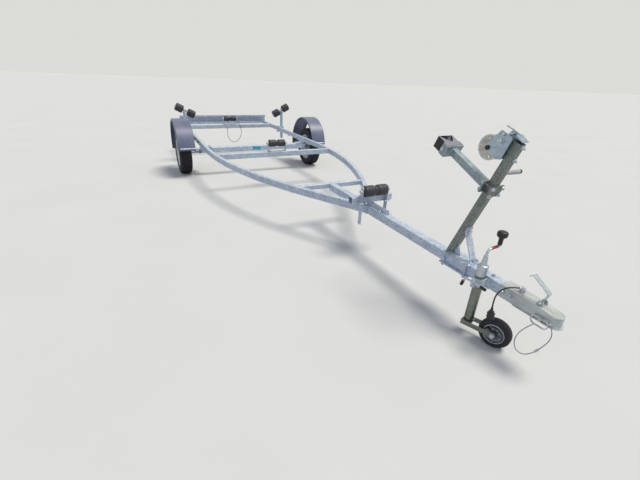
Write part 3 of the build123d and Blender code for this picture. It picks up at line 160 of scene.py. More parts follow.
view_right = CAMERA_LOOKS.cross(CAMERA_UP).normalized()
view_up = view_right.cross(CAMERA_LOOKS)
view_turn = Matrix((view_right, view_up, -CAMERA_LOOKS)).transposed().to_4x4()
camera_data = bpy.data.cameras.new("photo_camera")
camera_data.lens = LENS_MM
camera_data.sensor_width = SENSOR_MM
camera_data.clip_end = SEES_TO
camera = new_object("photo_camera", camera_data)
camera.matrix_world = Matrix.Translation(CAMERA_AT) @ view_turn
bpy.context.scene.camera = camera
bpy.context.scene.view_settings.view_transform = "Standard"
print("camera", [round(v, 3) for v in camera.location])

# %% [markdown]
# ## Nodes and colours
# A colour is written as the sRGB hex value that a designer would pick, and turned to the linear light that
# Blender works in. One small function adds any shader node, with its settings and links. Every finish ends
# the same way, which is written once: a pattern varies the roughness and a height gives the relief.

# %% Colour and node helpers


def linear(hex_colour):
    """sRGB hex to linear RGBA: c / 12.92 below 0.04045, else ((c + 0.055) / 1.055) to the power 2.4."""
    srgb = np.array([int(hex_colour[i:i + 2], 16) / 255 for i in (1, 3, 5)])
    light = np.where(srgb <= 0.04045, srgb / 12.92, ((srgb + 0.055) / 1.055) ** 2.4)
    return (*light.tolist(), 1.0)


def add(tree, kind, inputs=None, stops=(), **settings):
    """Adds a node. Settings are its own properties, inputs gives sockets a value or another node's output,
    and stops are a colour ramp's (position, hex colour) pairs."""
    node = tree.nodes.new(kind)
    for name, value in settings.items():
        setattr(node, name, value)
    for socket, value in (inputs or {}).items():
        if isinstance(value, bpy.types.NodeSocket):
            tree.links.new(value, node.inputs[socket])
        else:
            node.inputs[socket].default_value = value
    for i, (position, colour) in enumerate(stops):
        element = node.color_ramp.elements[i] if i < 2 else node.color_ramp.elements.new(position)
        element.position = position
        element.color = linear(colour)
    return node


def per_metre(millimetres):
    """A pattern's scale: how many of its features of that size go into a metre."""
    return 1000.0 / millimetres


def new_material(name):
    """A material without a shader yet, its node tree, and each point's place on the piece."""
    material = bpy.data.materials.new(name)
    material.use_nodes = True
    tree = material.node_tree
    tree.nodes.clear()
    return material, tree, add(tree, "ShaderNodeTexCoord").outputs["Object"]


def shade(tree, colour, pattern, rough, height, depth_mm, strength=0.3, metal=0.0):
    """The end of a finish: a pattern takes the roughness from its low to its high value, and a height in
    millimetres becomes relief."""
    gloss = add(tree, "ShaderNodeMapRange", {"Value": pattern, "To Min": rough[0], "To Max": rough[1]})
    relief = add(tree, "ShaderNodeBump", {
        "Height": height, "Distance": depth_mm / 1000, "Strength": strength})
    shader = add(tree, "ShaderNodeBsdfPrincipled", {
        "Base Color": colour, "Metallic": metal, "Roughness": gloss.outputs["Result"],
        "Normal": relief.outputs["Normal"]})
    add(tree, "ShaderNodeOutputMaterial", {"Surface": shader.outputs["BSDF"]})


print("white is", [round(v, 2) for v in linear("#ffffff")])

# %% [markdown]
# ## Hot-dip galvanised steel
# The frame was dipped whole in molten zinc. The zinc freezes in crystals, called spangle, each with its own
# brightness, over broader clouds where it drained off. After some weeks in the rain an oxide skin scatters
# most of the light, so the eye sees a bluish, only slightly metallic grey: pale tops, darker sides and a
# soft mottle. Voronoi cells give the crystals, noise the clouds, and the metallic value stays low for the
# skin. The crystals of such tube are about 5 mm across and are drawn at 9 mm, so that they show.

# %% Galvanised steel
SPANGLE_MM = 9.0
CLOUD_SHARE = 0.6
TONE_STOPS = (0.25, 0.5, 0.78)


def galvanised(name, tones, cloud_mm=70.0, metal=0.25, rough=(0.34, 0.5)):
    """One random brightness for each zinc crystal plus soft clouds; both also vary the roughness."""
    material, tree, place = new_material(name)
    crystal = add(tree, "ShaderNodeTexVoronoi", {"Vector": place, "Scale": per_metre(SPANGLE_MM)})
    own = add(tree, "ShaderNodeSeparateColor", {"Color": crystal.outputs["Color"]}).outputs["Red"]
    cloud = add(tree, "ShaderNodeTexNoise", {
        "Vector": place, "Scale": per_metre(cloud_mm), "Detail": 5.0}).outputs["Fac"]
    both = add(tree, "ShaderNodeMix", {"Factor": CLOUD_SHARE, "A": own, "B": cloud}).outputs["Result"]
    colour = add(tree, "ShaderNodeValToRGB", {"Fac": both}, zip(TONE_STOPS, tones)).outputs["Color"]
    shade(tree, colour, both, rough, cloud, 0.4, metal=metal)
    return material


hot_dip_zinc = galvanised("hot_dip_galvanised_steel", ("#acbacc", "#c6d2e0", "#e4ebf4"), metal=0.18)
weld_zinc = galvanised("galvanised_weld_bead", ("#a3afbd", "#b9c4d1", "#ced7e0"), cloud_mm=8.0,
                       rough=(0.42, 0.6))
# a darker bluish copy of the galvanised finish for the bow arm: its lower tones are painted shade
arm_zinc_painted_shade = galvanised("galvanised_tube_bluish_painted_shade", ("#86949a", "#9aa8ad", "#b2bec2"))
# a darker olive copy of the galvanised finish for the winch post: its tones are painted shade, and its olive
# a painted reflection of grass
post_zinc_painted_shade = galvanised("galvanised_tube_painted_olive_shade", ("#70756e", "#81877f", "#959b93"))
print("galvanised finishes made")

# %% [markdown]
# ## Zinc plate and lacquer
# Couplings, nuts, winch parts and jockey tubes are electroplated: a thin bright zinc over turned or pressed
# steel, with a faint blue or olive cast from the passivation and fine scuffs from handling. The scuffs are
# noise stretched along one way. The wheels' rims are pressed steel under a silver lacquer, which is
# smoother and whiter.

# %% Zinc plate and silver lacquer


def plated(name, dark, light, rough, scuff_mm=9.0, metal=0.85):
    """Plating with soft tone changes and short scuffs along the y way."""
    material, tree, place = new_material(name)
    stretched = add(tree, "ShaderNodeMapping", {"Vector": place, "Scale": (1.0, 0.25, 1.0)}).outputs["Vector"]
    scuff = add(tree, "ShaderNodeTexNoise", {
        "Vector": stretched, "Scale": per_metre(scuff_mm), "Detail": 6.0, "Roughness": 0.65}).outputs["Fac"]
    colour = add(tree, "ShaderNodeValToRGB", {"Fac": scuff}, [(0.3, dark), (0.7, light)]).outputs["Color"]
    shade(tree, colour, scuff, rough, scuff, 0.1, metal=metal)
    return material


bright_zinc = plated("bright_zinc_plate", "#9da8b0", "#cfd7dc", (0.28, 0.44))
blue_zinc = plated("blue_passivated_zinc", "#8fa1af", "#b5c4cf", (0.22, 0.4), 16.0)
olive_zinc = plated("satin_zinc_tube", "#6c716a", "#8a8f86", (0.28, 0.42), 20.0)
coupling_zinc = plated("pressed_steel_zinc", "#b0b6b3", "#dce0de", (0.26, 0.4), 24.0, metal=0.35)
drum_zinc = plated("drum_flange_zinc", "#99958f", "#c4c0ba", (0.22, 0.34), 18.0)
dish_silver = plated("pressed_dish_lacquer", "#54585d", "#7b8086", (0.26, 0.4), 10.0)
wheel_silver = plated("silver_wheel_lacquer", "#b4b7bb", "#d2d5d8", (0.28, 0.36), 30.0, metal=0.5)
print("plated finishes made")

# %% [markdown]
# ## Rubber and plastic
# Keel rollers and the bow block are moulded rubber, grey where they have scuffed; the block's top is painted
# lighter, a painted sheen of the sky, on the faces that the surface's own upward normal finds. Tyres are
# blacker and matt. The mudguards are dark polyethylene with a fine moulded grain, their colour lightened to a
# violet grey that paints the sky's sheen on them. Grain is a fraction of a millimetre in real moulding and is
# drawn a little coarser.

# %% Rubber and plastic
GRAIN_DEPTH_MM = 0.15
# where the painted sheen on faces that look up starts and where it is full, by the normal's z
PAINTED_SHEEN_FROM, PAINTED_SHEEN_FULL = 0.55, 0.85


def moulded(name, dark, light, rough, grain_mm=1.6, wear_mm=45.0, painted_sheen=None):
    """Moulded rubber or plastic: broad wear patches in the colour, fine grain in the surface, painted sheen
    on top.
    """
    material, tree, place = new_material(name)
    wear = add(tree, "ShaderNodeTexNoise", {
        "Vector": place, "Scale": per_metre(wear_mm), "Detail": 6.0, "Roughness": 0.6}).outputs["Fac"]
    colour = add(tree, "ShaderNodeValToRGB", {"Fac": wear}, [(0.35, dark), (0.68, light)]).outputs["Color"]
    # painted sheen: faces that look up are mixed towards a pale colour that stands in for the sky's
    # reflection
    if painted_sheen:
        normal = add(tree, "ShaderNodeNewGeometry").outputs["Normal"]
        faces_up = add(tree, "ShaderNodeSeparateXYZ", {"Vector": normal}).outputs["Z"]
        painted_sheen_share = add(tree, "ShaderNodeMapRange", {
            "Value": faces_up, "From Min": PAINTED_SHEEN_FROM, "From Max": PAINTED_SHEEN_FULL}).outputs["Result"]
        colour = add(tree, "ShaderNodeMix", {"Factor": painted_sheen_share, 6: colour, 7: linear(painted_sheen)},
                     data_type="RGBA").outputs[2]
    grain = add(tree, "ShaderNodeTexNoise", {"Vector": place, "Scale": per_metre(grain_mm), "Detail": 2.0})
    shade(tree, colour, wear, rough, grain.outputs["Fac"], GRAIN_DEPTH_MM, strength=0.5)
    return material


tyre_rubber = moulded("tyre_rubber", "#1a1920", "#2a2931", (0.62, 0.85), 2.4)
roller_rubber = moulded("moulded_roller_rubber", "#2b292f", "#45424b", (0.42, 0.62))
# the bow block's pale top colour is a painted sheen of the sky, mixed in on faces that look up
block_rubber = moulded("bow_block_rubber", "#1c1b1f", "#2c2b30", (0.5, 0.7), painted_sheen="#918c98")
# the mudguards' violet grey is lighter than their dark plastic: a painted sheen of the sky on them
guard_plastic_painted_sheen = moulded("polyethylene_mudguard_painted_sheen", "#6a7087", "#7a8097", (0.3, 0.42), wear_mm=160.0)
black_plastic = moulded("black_nylon", "#131315", "#232327", (0.3, 0.5))
grip_plastic = moulded("pale_grip_plastic", "#a9a3a6", "#c3bec0", (0.35, 0.5))
cable_sheath = moulded("cable_sheath_pvc", "#141416", "#232327", (0.35, 0.5))
red_sleeve = moulded("red_pvc_sleeve", "#a5402c", "#c25a3c", (0.35, 0.5))
white_plastic = moulded("white_nylon", "#d6d8d8", "#ecedee", (0.3, 0.45))
label_film = moulded("blank_cyan_label", "#2fb4cf", "#4ac9e0", (0.25, 0.4))
rope_sleeve = moulded("clear_sleeved_wire_rope", "#8b8491", "#aaa3b0", (0.22, 0.36), 1.2)
red_lens = moulded("red_acrylic_lens", "#9c1a1a", "#b52424", (0.08, 0.16), 6.0)
amber_lens = moulded("amber_acrylic_lens", "#c46a16", "#d97d22", (0.08, 0.16), 6.0)
print("rubber and plastic finishes made")

# %% [markdown]
# ## Each CAD node gets its finish
# The table lists what the CAD nodes are made of, those that a rounder piece replaces later too.

# %% Finishes of the CAD nodes
FINISHES = {
    hot_dip_zinc: "side_rails cross_members drawbar light_board axle_beam axle_brackets swing_arms "
                  "keel_roller_brackets front_keel_bracket front_roller_bar front_roller_feet side_posts "
                  "side_post_clamps winch_post_base winch_post_stay mudguard_stays jockey_clamp "
                  "side_roller_head_left side_roller_head_right",
    # the winch post and the arm's front clamp take the olive copy, whose colour paints their shade and the
    # grass reflected in them
    post_zinc_painted_shade: "winch_post bow_arm_front_clamp",
    # the arm and its bracket take the darker bluish copy, whose colour paints their shade
    arm_zinc_painted_shade: "bow_arm bow_stop_bracket",
    bright_zinc: "hub_left hub_right jockey_clamp_handle jockey_crank winch_crank winch_pawl coupling_handle "
                 "snap_hook cable_glands",
    blue_zinc: "winch_frame",
    drum_zinc: "winch_drum",
    coupling_zinc: "coupling_body",
    olive_zinc: "jockey_outer_tube jockey_inner_tube jockey_fork",
    wheel_silver: "rim_left rim_right jockey_rim",
    tyre_rubber: "tyre_left tyre_right jockey_tyre",
    roller_rubber: "front_keel_roller middle_keel_roller rear_keel_roller side_roller_inner_left "
                   "side_roller_outer_left side_roller_inner_right side_roller_outer_right",
    block_rubber: "bow_stop_block",
    guard_plastic_painted_sheen: "mudguards",
    black_plastic: "jockey_knob plug",
    grip_plastic: "winch_grip",
    red_lens: "tail_lamps",
}
for finish, names in FINISHES.items():
    for name in names.split():
        nodes[name].data.materials.clear()
        nodes[name].data.materials.append(finish)
print("finished nodes", len(" ".join(FINISHES.values()).split()))

# %% [markdown]
# ## Surfaces from arrays
# A surface is a grid of points that a formula gives for two parameters at once. Most pieces here are turned:
# a profile is spun about an axis, and flats cut into it make a hexagon.

# %% Grids and lathes


def grid(points, close_rows=False):
    """Vertices and quads: point (i, j) joins (i + 1, j) and (i, j + 1). Columns wrap round, rows may."""
    rows, columns = points.shape[:2]
    index = np.arange(rows * columns).reshape(rows, columns)
    if close_rows:
        index = np.vstack([index, index[:1]])
    index = np.hstack([index, index[:, :1]])
    quads = np.stack([index[:-1, :-1], index[:-1, 1:], index[1:, 1:], index[1:, :-1]], axis=-1)
    return points.reshape(-1, 3), quads.reshape(-1, 4)


def across(direction):
    """A direction as a unit vector, and two more square to it and to each other."""
    direction = np.asarray(direction, float) / np.linalg.norm(direction)
    first = np.cross((0, 0, 1) if abs(direction[2]) < 0.9 else (0, 1, 0), direction)
    first /= np.linalg.norm(first)
    return direction, first, np.cross(direction, first)


def angles(sides):
    """The angles of a whole turn in equal steps."""
    return np.linspace(0, 2 * math.pi, sides, endpoint=False)


def lathe(profile, at, axis=(1, 0, 0), sides=32, flats=None, turn=0.0, closed=False):
    """Spins (along, radius) pairs about an axis through at. With flats, the radius is cut off at a hexagon
    that measures flats across: r = min(r, flats / 2 / cos(angle from the nearest flat's middle))."""
    along, radius = np.array(profile, float).T
    angle = angles(sides)
    radii = np.repeat(radius[:, None], sides, axis=1)
    if flats:
        from_flat = (angle + math.pi / 6) % (math.pi / 3) - math.pi / 6
        radii = np.minimum(radii, flats / 2 / np.cos(from_flat))
    axis, first, second = across(axis)
    ring = np.cos(angle + turn)[:, None] * first + np.sin(angle + turn)[:, None] * second
    points = np.asarray(at, float) + along[:, None, None] * axis + radii[:, :, None] * ring
    return grid(points, close_rows=closed)


def moved(part, *changes):
    """The same faces, their points changed by one function after another."""
    points, quads = part
    for change in changes:
        points = change(points)
    return points, quads


def mirrored(points):
    """The same points on the trailer's other side: x changes its sign."""
    return points * (-1, 1, 1)


print("a turn in 6 steps", angles(6).round(2).tolist())

# %% [markdown]
# ## From grids to pieces
# The mesh maker joins several grids, merges doubles, closes open ends and turns the faces outwards. Each
# piece rides on a body of the CAD model, and may stand for a CAD node, which is then hidden.

# %% Pieces
# metres, metres and degrees
MERGE_WITHIN = 2e-6
NO_LENGTH = 1e-7
SHARP_FROM = 35.0


def fitted(name, data, finish, body, stands_for):
    """A new object with its finish, which rides on a body and may stand for a CAD node."""
    data.materials.append(finish)
    made = new_object(name, data)
    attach(made, body)
    if stands_for:
        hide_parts(stands_for)
    return made


def piece(name, parts, finish, body="chassis", stands_for=None, smooth=SHARP_FROM, place=parked):
    """Joins parts, drawn on the level frame, into one closed mesh that faces outwards. Edges that turn by
    more than smooth degrees stay sharp."""
    starts = np.cumsum([0] + [len(points) for points, _ in parts])
    points = place(np.vstack([points for points, _ in parts]))
    quads = np.vstack([faces + start for (_, faces), start in zip(parts, starts)])
    mesh = bpy.data.meshes.new(name)
    mesh.from_pydata(points.tolist(), [], quads.tolist())
    shape = bmesh.new()
    shape.from_mesh(mesh)
    bmesh.ops.remove_doubles(shape, verts=shape.verts, dist=MERGE_WITHIN)
    bmesh.ops.dissolve_degenerate(shape, edges=shape.edges, dist=NO_LENGTH)
    bmesh.ops.holes_fill(shape, edges=shape.edges, sides=0)
    bmesh.ops.recalc_face_normals(shape, faces=shape.faces)
    shape.to_mesh(mesh)
    shape.free()
    mesh.shade_smooth()
    mesh.set_sharp_from_angle(angle=math.radians(smooth))
    print(name, "faces", len(mesh.polygons))
    return fitted(name, mesh, finish, body, stands_for)


# np.asarray leaves the points where they are drawn
SIDES = (("left", np.asarray), ("right", mirrored))
BOTH = (np.asarray, mirrored)
ONE = (np.asarray,)
print("sides", [side for side, _ in SIDES])

# %% [markdown]
# ## Cords
# Three cords hang on the trailer: the lead with its plug, the thin steel rope at the coupling, and the
# lighting cable under the rear keel roller. Each is a soft line through a few points, and a
# NURBS spline of order 3 runs smoothly past them. The points are those of the CAD tube.

# %% Cords
PLUG_LEAD = [(-14, -4186, 478), (-40, -4163, 476), (-70, -4146, 462), (-95, -4140, 436), (-110, -4146, 405),
             (-115, -4152, 376)]
SAFETY_ROPE = [(-44, -4306, 364), (-50, -4285, 332), (-58, -4269, 288), (-60, -4267, 243), (-60, -4286, 209),
               (-57, -4321, 207), (-52, -4354, 243), (-48, -4377, 290), (-45, -4396, 342), (-44, -4396, 388),
               (-44, -4376, 410.5)]
LIGHT_LEAD = [(120, 1263, 507), (131, 1249, 485), (150, 1244, 450), (168, 1243, 398), (176, 1243, 338),
              (166, 1243, 278), (138, 1243, 222), (95, 1243, 178), (40, 1243, 163), (-12, 1243, 185),
              (-47, 1245, 232), (-64, 1250, 288), (-62, 1262, 340), (-55, 1276, 382)]
LEAD_WIDE = 7.0
ROPE_WIDE = 4.0


def hanging(name, route, diameter, finish, node):
    """A cord as one NURBS spline of order 3 whose control points are the route's, with a round section."""
    curve = bpy.data.curves.new(name, "CURVE")
    curve.dimensions = "3D"
    curve.bevel_depth = diameter / 2000
    curve.bevel_resolution = 5
    curve.resolution_u = 10
    curve.use_fill_caps = True
    points = parked(route)
    spline = curve.splines.new("NURBS")
    spline.points.add(len(points) - 1)
    spline.points.foreach_set("co", np.c_[points, np.ones(len(points))].ravel())
    spline.order_u = 3
    spline.use_endpoint_u = True
    print(name, "control points", len(points))
    return fitted(name, curve, finish, "chassis", node)


plug_lead = hanging("plug_lead", PLUG_LEAD, LEAD_WIDE, cable_sheath, "plug_cable")
safety_rope = hanging("safety_rope", SAFETY_ROPE, ROPE_WIDE, rope_sleeve, "safety_cable")
light_lead = hanging("light_lead", LIGHT_LEAD, LEAD_WIDE, cable_sheath, "light_cable")

# %% [markdown]
# ## Sections carried along paths
# Rods, beads and sleeves are a section carried along a path. Each point's heading comes from its
# neighbours, and two ways square to it place the section. A path of straight runs first gets round corners.

# %% Paths and sweeps
SHARE_OF_RUN = 0.49


def rounded(points, radius, steps=6):
    """A path of straight runs whose corners are arcs: each is a quadratic curve between the points that lie
    radius times the tangent of half the turn before and after the corner, but within half a run."""
    points = np.asarray(points, float)
    corner = points[1:-1]
    runs = np.stack([points[:-2], points[2:]]) - corner
    lengths = np.linalg.norm(runs, axis=-1, keepdims=True)
    ways = runs / lengths
    cosine = np.clip(-np.sum(ways[0] * ways[1], axis=1, keepdims=True), -1, 1)
    reach = np.minimum(radius * np.tan(np.arccos(cosine) / 2), SHARE_OF_RUN * lengths.min(axis=0))
    start, end = corner + ways * reach
    t = np.linspace(0, 1, steps)[None, :, None]
    arcs = (1 - t) ** 2 * start[:, None] + 2 * t * (1 - t) * corner[:, None] + t ** 2 * end[:, None]
    return np.vstack([points[:1], arcs.reshape(-1, points.shape[1]), points[-1:]])


def spaced(path, step):
    """Points a step apart along a path of straight runs, found by length."""
    path = np.asarray(path, float)
    length = np.concatenate([[0], np.cumsum(np.linalg.norm(np.diff(path, axis=0), axis=1))])
    wanted = np.linspace(0, length[-1], max(int(length[-1] / step), 2))
    return np.stack([np.interp(wanted, length, path[:, i]) for i in range(3)], axis=-1)


def sweep(path, section, up=(0, 0, 1), scale=1.0):
    """Carries a section along a path. Section points are (side, rise): side is square to the path and to up,
    and rise is square to both. scale, also one number for each path point, swells the section."""
    path = np.asarray(path, float)
    heading = np.gradient(path, axis=0)
    heading /= np.linalg.norm(heading, axis=1, keepdims=True)
    side = np.cross(heading, np.asarray(up, float))
    side /= np.linalg.norm(side, axis=1, keepdims=True)
    rise = np.cross(side, heading)
    offset = section[None, :, :1] * side[:, None] + section[None, :, 1:2] * rise[:, None]
    return grid(path[:, None] + offset * np.reshape(scale, (-1, 1, 1)))


def circle(radius, sides):
    """A round section: (r cos a, r sin a)."""
    return np.stack([radius * np.cos(angles(sides)), radius * np.sin(angles(sides))], axis=-1)


print("a path with one round corner has", len(rounded([(0, 0), (9, 0), (9, 9)], 3)), "points")

# %% [markdown]
# ## What the cords carry
# A white crimped sleeve sits on the safety rope's loop, and two raised rings grip the plug. The sleeve
# follows the rope's own line, from the points of its spline, and swells where the crimp bulges.

# %% Rope sleeve and plug rings
SLEEVE_AT = (-50, -4366, 268)
SLEEVE_ENDS = 0.82
# these three are in metres, as the parked rope's line is
SLEEVE_LONG = 0.024
SLEEVE_RADIUS = 0.0055
LINE_STEP = 0.001
PLUG_AT = PLUG_LEAD[-1]
PLUG_WAY = np.subtract(PLUG_LEAD[-1], PLUG_LEAD[-2])
PLUG_RINGS = [(27, 16.4), (27.5, 18), (30.5, 18.2), (31, 16.9), (44, 17), (44.5, 18.4), (47.5, 18.4),
              (48, 16.9)]


def line_of(cord):
    """The points that Blender draws a cord's spline through, read from a copy of it that has no thickness."""
    thin = bpy.data.objects.new("thin_line", cord.data.copy())
    thin.data.bevel_depth = 0
    line = bpy.data.meshes.new_from_object(thin)
    points = np.empty(3 * len(line.vertices))
    line.vertices.foreach_get("co", points)
    bpy.data.curves.remove(thin.data)
    return points.reshape(-1, 3)


line = spaced(line_of(safety_rope), LINE_STEP)
nearest = np.argsort(np.linalg.norm(line - parked([SLEEVE_AT]), axis=1))[:int(SLEEVE_LONG / LINE_STEP)]
sleeve_line = line[nearest.min():nearest.max() + 1]
swell = SLEEVE_ENDS + (1 - SLEEVE_ENDS) * np.sin(np.linspace(0, math.pi, len(sleeve_line))) ** 0.3
sleeve = piece("rope_crimp_sleeve", [sweep(sleeve_line, circle(SLEEVE_RADIUS, 20), (1, 0, 0), swell)],
               white_plastic, place=np.asarray)
rings = piece("plug_rings", [lathe(PLUG_RINGS, PLUG_AT, PLUG_WAY, 40, closed=True)], black_plastic)

CORDS = [
    # cord, length, diameter, far end, stiffness, pieces on it
    (plug_lead, 172, LEAD_WIDE, "plug", "medium", [nodes["plug"], rings]),
    (safety_rope, 430, ROPE_WIDE, "object", "stiff", [sleeve]),
    (light_lead, 691, LEAD_WIDE, "object", "medium", []),
]
for cord, length, diameter, far_end, stiffness, on_it in CORDS:
    print(cord.name, "length", length, "mm")

# %% [markdown]
# ## Road tyres
# A tyre is one closed profile spun about the wheel's axis: bead, sidewall, tread, and the same again
# inside. Four zigzag grooves run round the tread, and slots cut both shoulders 56 times a turn. Each tread
# point's radius simply drops by a groove's or slot's depth there, so the tread needs no cutting.

# %% Road tyres
TREAD_ANGLES = 448
SHOULDER_SLOTS = 56
SLOT_SHARE = 0.3
SLOT_DEPTH = 5.0
GROOVE_DEPTH = 7.0
ZIGZAG = 1.6
CROWN_DROP = 4.5
TREAD_X = np.array([0, 9.5, 10.5, 17, 18, 33, 34, 40.5, 41.5, 50, 51, 57, 62])
IN_GROOVE = np.array([0, 0, 1, 1, 0, 0, 1, 1, 0, 0, 0, 0, 0])
SWAYS = (TREAD_X > 9) & (TREAD_X < 42)
ON_SHOULDER = TREAD_X > 50
SIDEWALL = [(66, 267.5), (69, 263), (72.5, 254), (74, 250), (73.2, 249), (75.5, 240), (77, 226), (77.5, 214),
            (77, 202), (75, 192), (73.5, 190), (73, 187), (69, 180), (63, 173), (59, 168), (57, 165.4)]
LINER = [(43.5, 165), (47, 185), (60, 203), (65.5, 220), (63, 240), (56, 257), (20, 261)]


def spun_halves(x, radius, at, shared=0):
    """Spins a half profile that changes with the angle, and its mirror image, about X: row i gives point i as
    (x, r cos a, r sin a) from at. The first shared rows lie between the halves and come once."""
    x = np.vstack([x, -x[shared:][::-1]])
    radius = np.vstack([radius, radius[shared:][::-1]])
    angle = angles(x.shape[1])
    return grid(np.stack([x, radius * np.cos(angle), radius * np.sin(angle)], axis=-1) + at, close_rows=True)


def road_tyre():
    """r = the crown's radius, falling with the square of x, less a groove's depth, and on the shoulder less a
    slot's depth in the slot's share of each pitch; grooves sway by a triangle wave."""
    pitch = angles(TREAD_ANGLES) * SHOULDER_SLOTS / 2 / math.pi % 1
    crown = TYRE_RADIUS - CROWN_DROP * (TREAD_X / TREAD_X[-1]) ** 2 - GROOVE_DEPTH * IN_GROOVE
    radius = crown[:, None] - SLOT_DEPTH * ON_SHOULDER[:, None] * (pitch < SLOT_SHARE)
    x = TREAD_X[:, None] + ZIGZAG * SWAYS[:, None] * (2 * abs(pitch - 0.5) - 0.5)
    rest = np.array(SIDEWALL + LINER)[:, :, None] * np.ones(TREAD_ANGLES)
    return spun_halves(np.vstack([x, rest[:, 0]]), np.vstack([radius, rest[:, 1]]),
                       (WHEEL_X, WHEEL_Y, WHEEL_Z), shared=1)


tyre = road_tyre()
for side, place in SIDES:
    piece("road_tyre_" + side, [moved(tyre, place)], tyre_rubber, "wheel_" + side, "tyre_" + side, smooth=28)

# %% [markdown]
# ## Rollers
# The keel rollers are long rubber rollers, waisted in the middle for the keel, with rounded ends. The side
# rollers are shorter and fatter, with dished faces round their bores. Both are turned shapes, so a lathe
# makes them, and the fine rings are where the parts of their moulds met.

# %% Rollers
REAR_BAR = 1281
MIDDLE_BAR = -967
KEEL_HALF = [(100, 8.1), (100, 27), (98.5, 33), (95, 37.5), (90, 39.6), (84, 40), (57, 40), (56.4, 39.4),
             (55.6, 39.4), (55, 40), (22, 40), (17, 39), (13.5, 35.5), (11, 31.5), (8, 30.2)]
KEEL_PLACES = {"front": (0, -2985, 582), "middle": (0, MIDDLE_BAR, 552), "rear": (0, REAR_BAR, 550)}
SIDE_HALF = [(53, 8.1), (53, 17), (55, 20), (55, 38), (54.3, 43.5), (51.5, 49), (47.5, 53), (42, 55.4),
             (35, 56), (1, 56), (0.5, 55.4)]
SIDE_PLACES = {"inner": -89.5, "outer": 89.5}
SIDE_SHAFT = 35.0


def mirrored_profile(half):
    """A whole profile from its half: the same pairs again from the far end, their first value negative."""
    return list(half) + [(-along, radius) for along, radius in half[::-1]]


for name, at in KEEL_PLACES.items():
    rubber = lathe(mirrored_profile(KEEL_HALF), at, sides=72, closed=True)
    piece(name + "_roller_rubber", [rubber], roller_rubber, name + "_roller", name + "_keel_roller")
for side, place in SIDES:
    for name, x in SIDE_PLACES.items():
        rubber = lathe(mirrored_profile(SIDE_HALF), (x, 0, SIDE_SHAFT), sides=72, closed=True)
        piece(name + "_roller_rubber_" + side, [moved(rubber, on_head, place)], roller_rubber,
              name + "_roller_" + side, "side_roller_" + name + "_" + side)

# %% [markdown]
# ## Nuts and bolts
# Every bolt shows a washer, a hexagon with its corners turned off, and a bit of thread. A hexagon is a
# lathe whose radius is cut off at six flats, so one function makes them all from the thread's size: the
# flats measure 1.5 threads plus 1 mm, as on common bolts. Each set of bolts is one piece.

# %% Nuts and bolts
# parts of the thread's size: washer's thickness and radius, nut's height and turned-off corner
WASHER_THICK, WASHER_RADIUS, NUT_HIGH, CORNER_OFF = 0.18, 1.05, 0.8, 0.09
# the nut's round top face, as a part of its flats
NUT_FACE = 0.95
TURN_STEP = 0.7
X_OUT, X_IN, Y_BACK, Y_FRONT, UP, DOWN = (1, 0, 0), (-1, 0, 0), (0, 1, 0), (0, -1, 0), (0, 0, 1), (0, 0, -1)


def fastener(at, axis, thread, tail=0.0, turn=0.0):
    """Washer, hexagon and thread end on a face at a point, standing out along an axis."""
    washer, wide = WASHER_THICK * thread, WASHER_RADIUS * thread
    top = washer + NUT_HIGH * thread
    flats = 1.5 * thread + 1
    corner = flats / 2 / math.cos(math.pi / 6)
    nut = [(washer, 0), (washer, corner), (top - CORNER_OFF * thread, corner), (top, NUT_FACE * flats / 2),
           (top, 0)]
    parts = [lathe([(0, 0), (0, wide), (washer, wide), (washer, 0)], at, axis, 24),
             lathe(nut, at, axis, 24, flats, turn)]
    if tail:
        end, stud = top + tail, thread / 2
        parts.append(lathe([(top, 0), (top, stud), (end - 1, stud), (end, stud - 1), (end, 0)], at, axis, 12))
    return parts


def bolts(name, ways, thread=10, tail=3, copies=BOTH, drawing=np.asarray, body="chassis"):
    """A set of fasteners as one piece, from {way they point: places}. Each next hexagon is turned a bit."""
    spots = [(at, way) for way, places in ways.items() for at in places]
    parts = [moved(part, copy, drawing) for copy in copies for i, (at, way) in enumerate(spots)
             for part in fastener(at, way, thread, tail, i * TURN_STEP)]
    piece(name, parts, bright_zinc, body)


print("an M10 fastener has", sum(len(faces) for _, faces in fastener(PIVOT, UP, 10, 3)), "faces")

# %% [markdown]
# ## Where the bolts sit
# Most sets are mirrored about the trailer's middle, so only the left ones are given. Bolts on a leaning
# part are placed in that part's own drawing.

# %% Places of the bolts
STAY_Y = (-261.3, 521.3)
STAY_OUT = (0, -0.985, 0.174)
STAY_BACK = (0, 0.985, 0.174)
CRANK_AT = (0, 40.9, 67.2)
WINCH_SIDE = 40

bolts("side_post_bolts", {way: [(x, y, z) for y in (850, 910) for z in (389, 463)]
                          for way, x in ((X_OUT, 795), (X_IN, 710))})
bolts("axle_bolts", {UP: [(x, -120, 382) for x in (630, 680)], X_IN: [(707, y, 424) for y in (-165, 60)],
                     X_OUT: [(755, y, 424) for y in (-165, 60)]}, 12, 5)
bolts("mudguard_bolts", {X_OUT: [(767, y, 404) for y in STAY_Y],
                         STAY_OUT: [(x, -271.1, 387.7) for x in (870, 985)],
                         STAY_BACK: [(x, 531.1, 387.7) for x in (870, 985)]}, 8, 2)
bolts("keel_pin_nuts", {X_OUT: [(111, *KEEL_PLACES[name][1:]) for name in ("rear", "middle", "front")]},
      16, 2)
bolts("keel_bracket_bolts", {UP: [(84, REAR_BAR, 461), (84, MIDDLE_BAR, 461), (19, -3100, 460)]})
bolts("winch_base_bolts", {way: [(38, y, z) for y in (-3749, -3901)] for way, z in ((UP, 462), (DOWN, 390))})
bolts("post_stay_bolts", {UP: [(0, -3914, 468)]}, copies=ONE)
bolts("bow_arm_bolts", {way: [(33, y, z) for z in (412, 452)] for way, y in ((Y_FRONT, -48), (Y_BACK, 8))},
      tail=4, drawing=on_post)
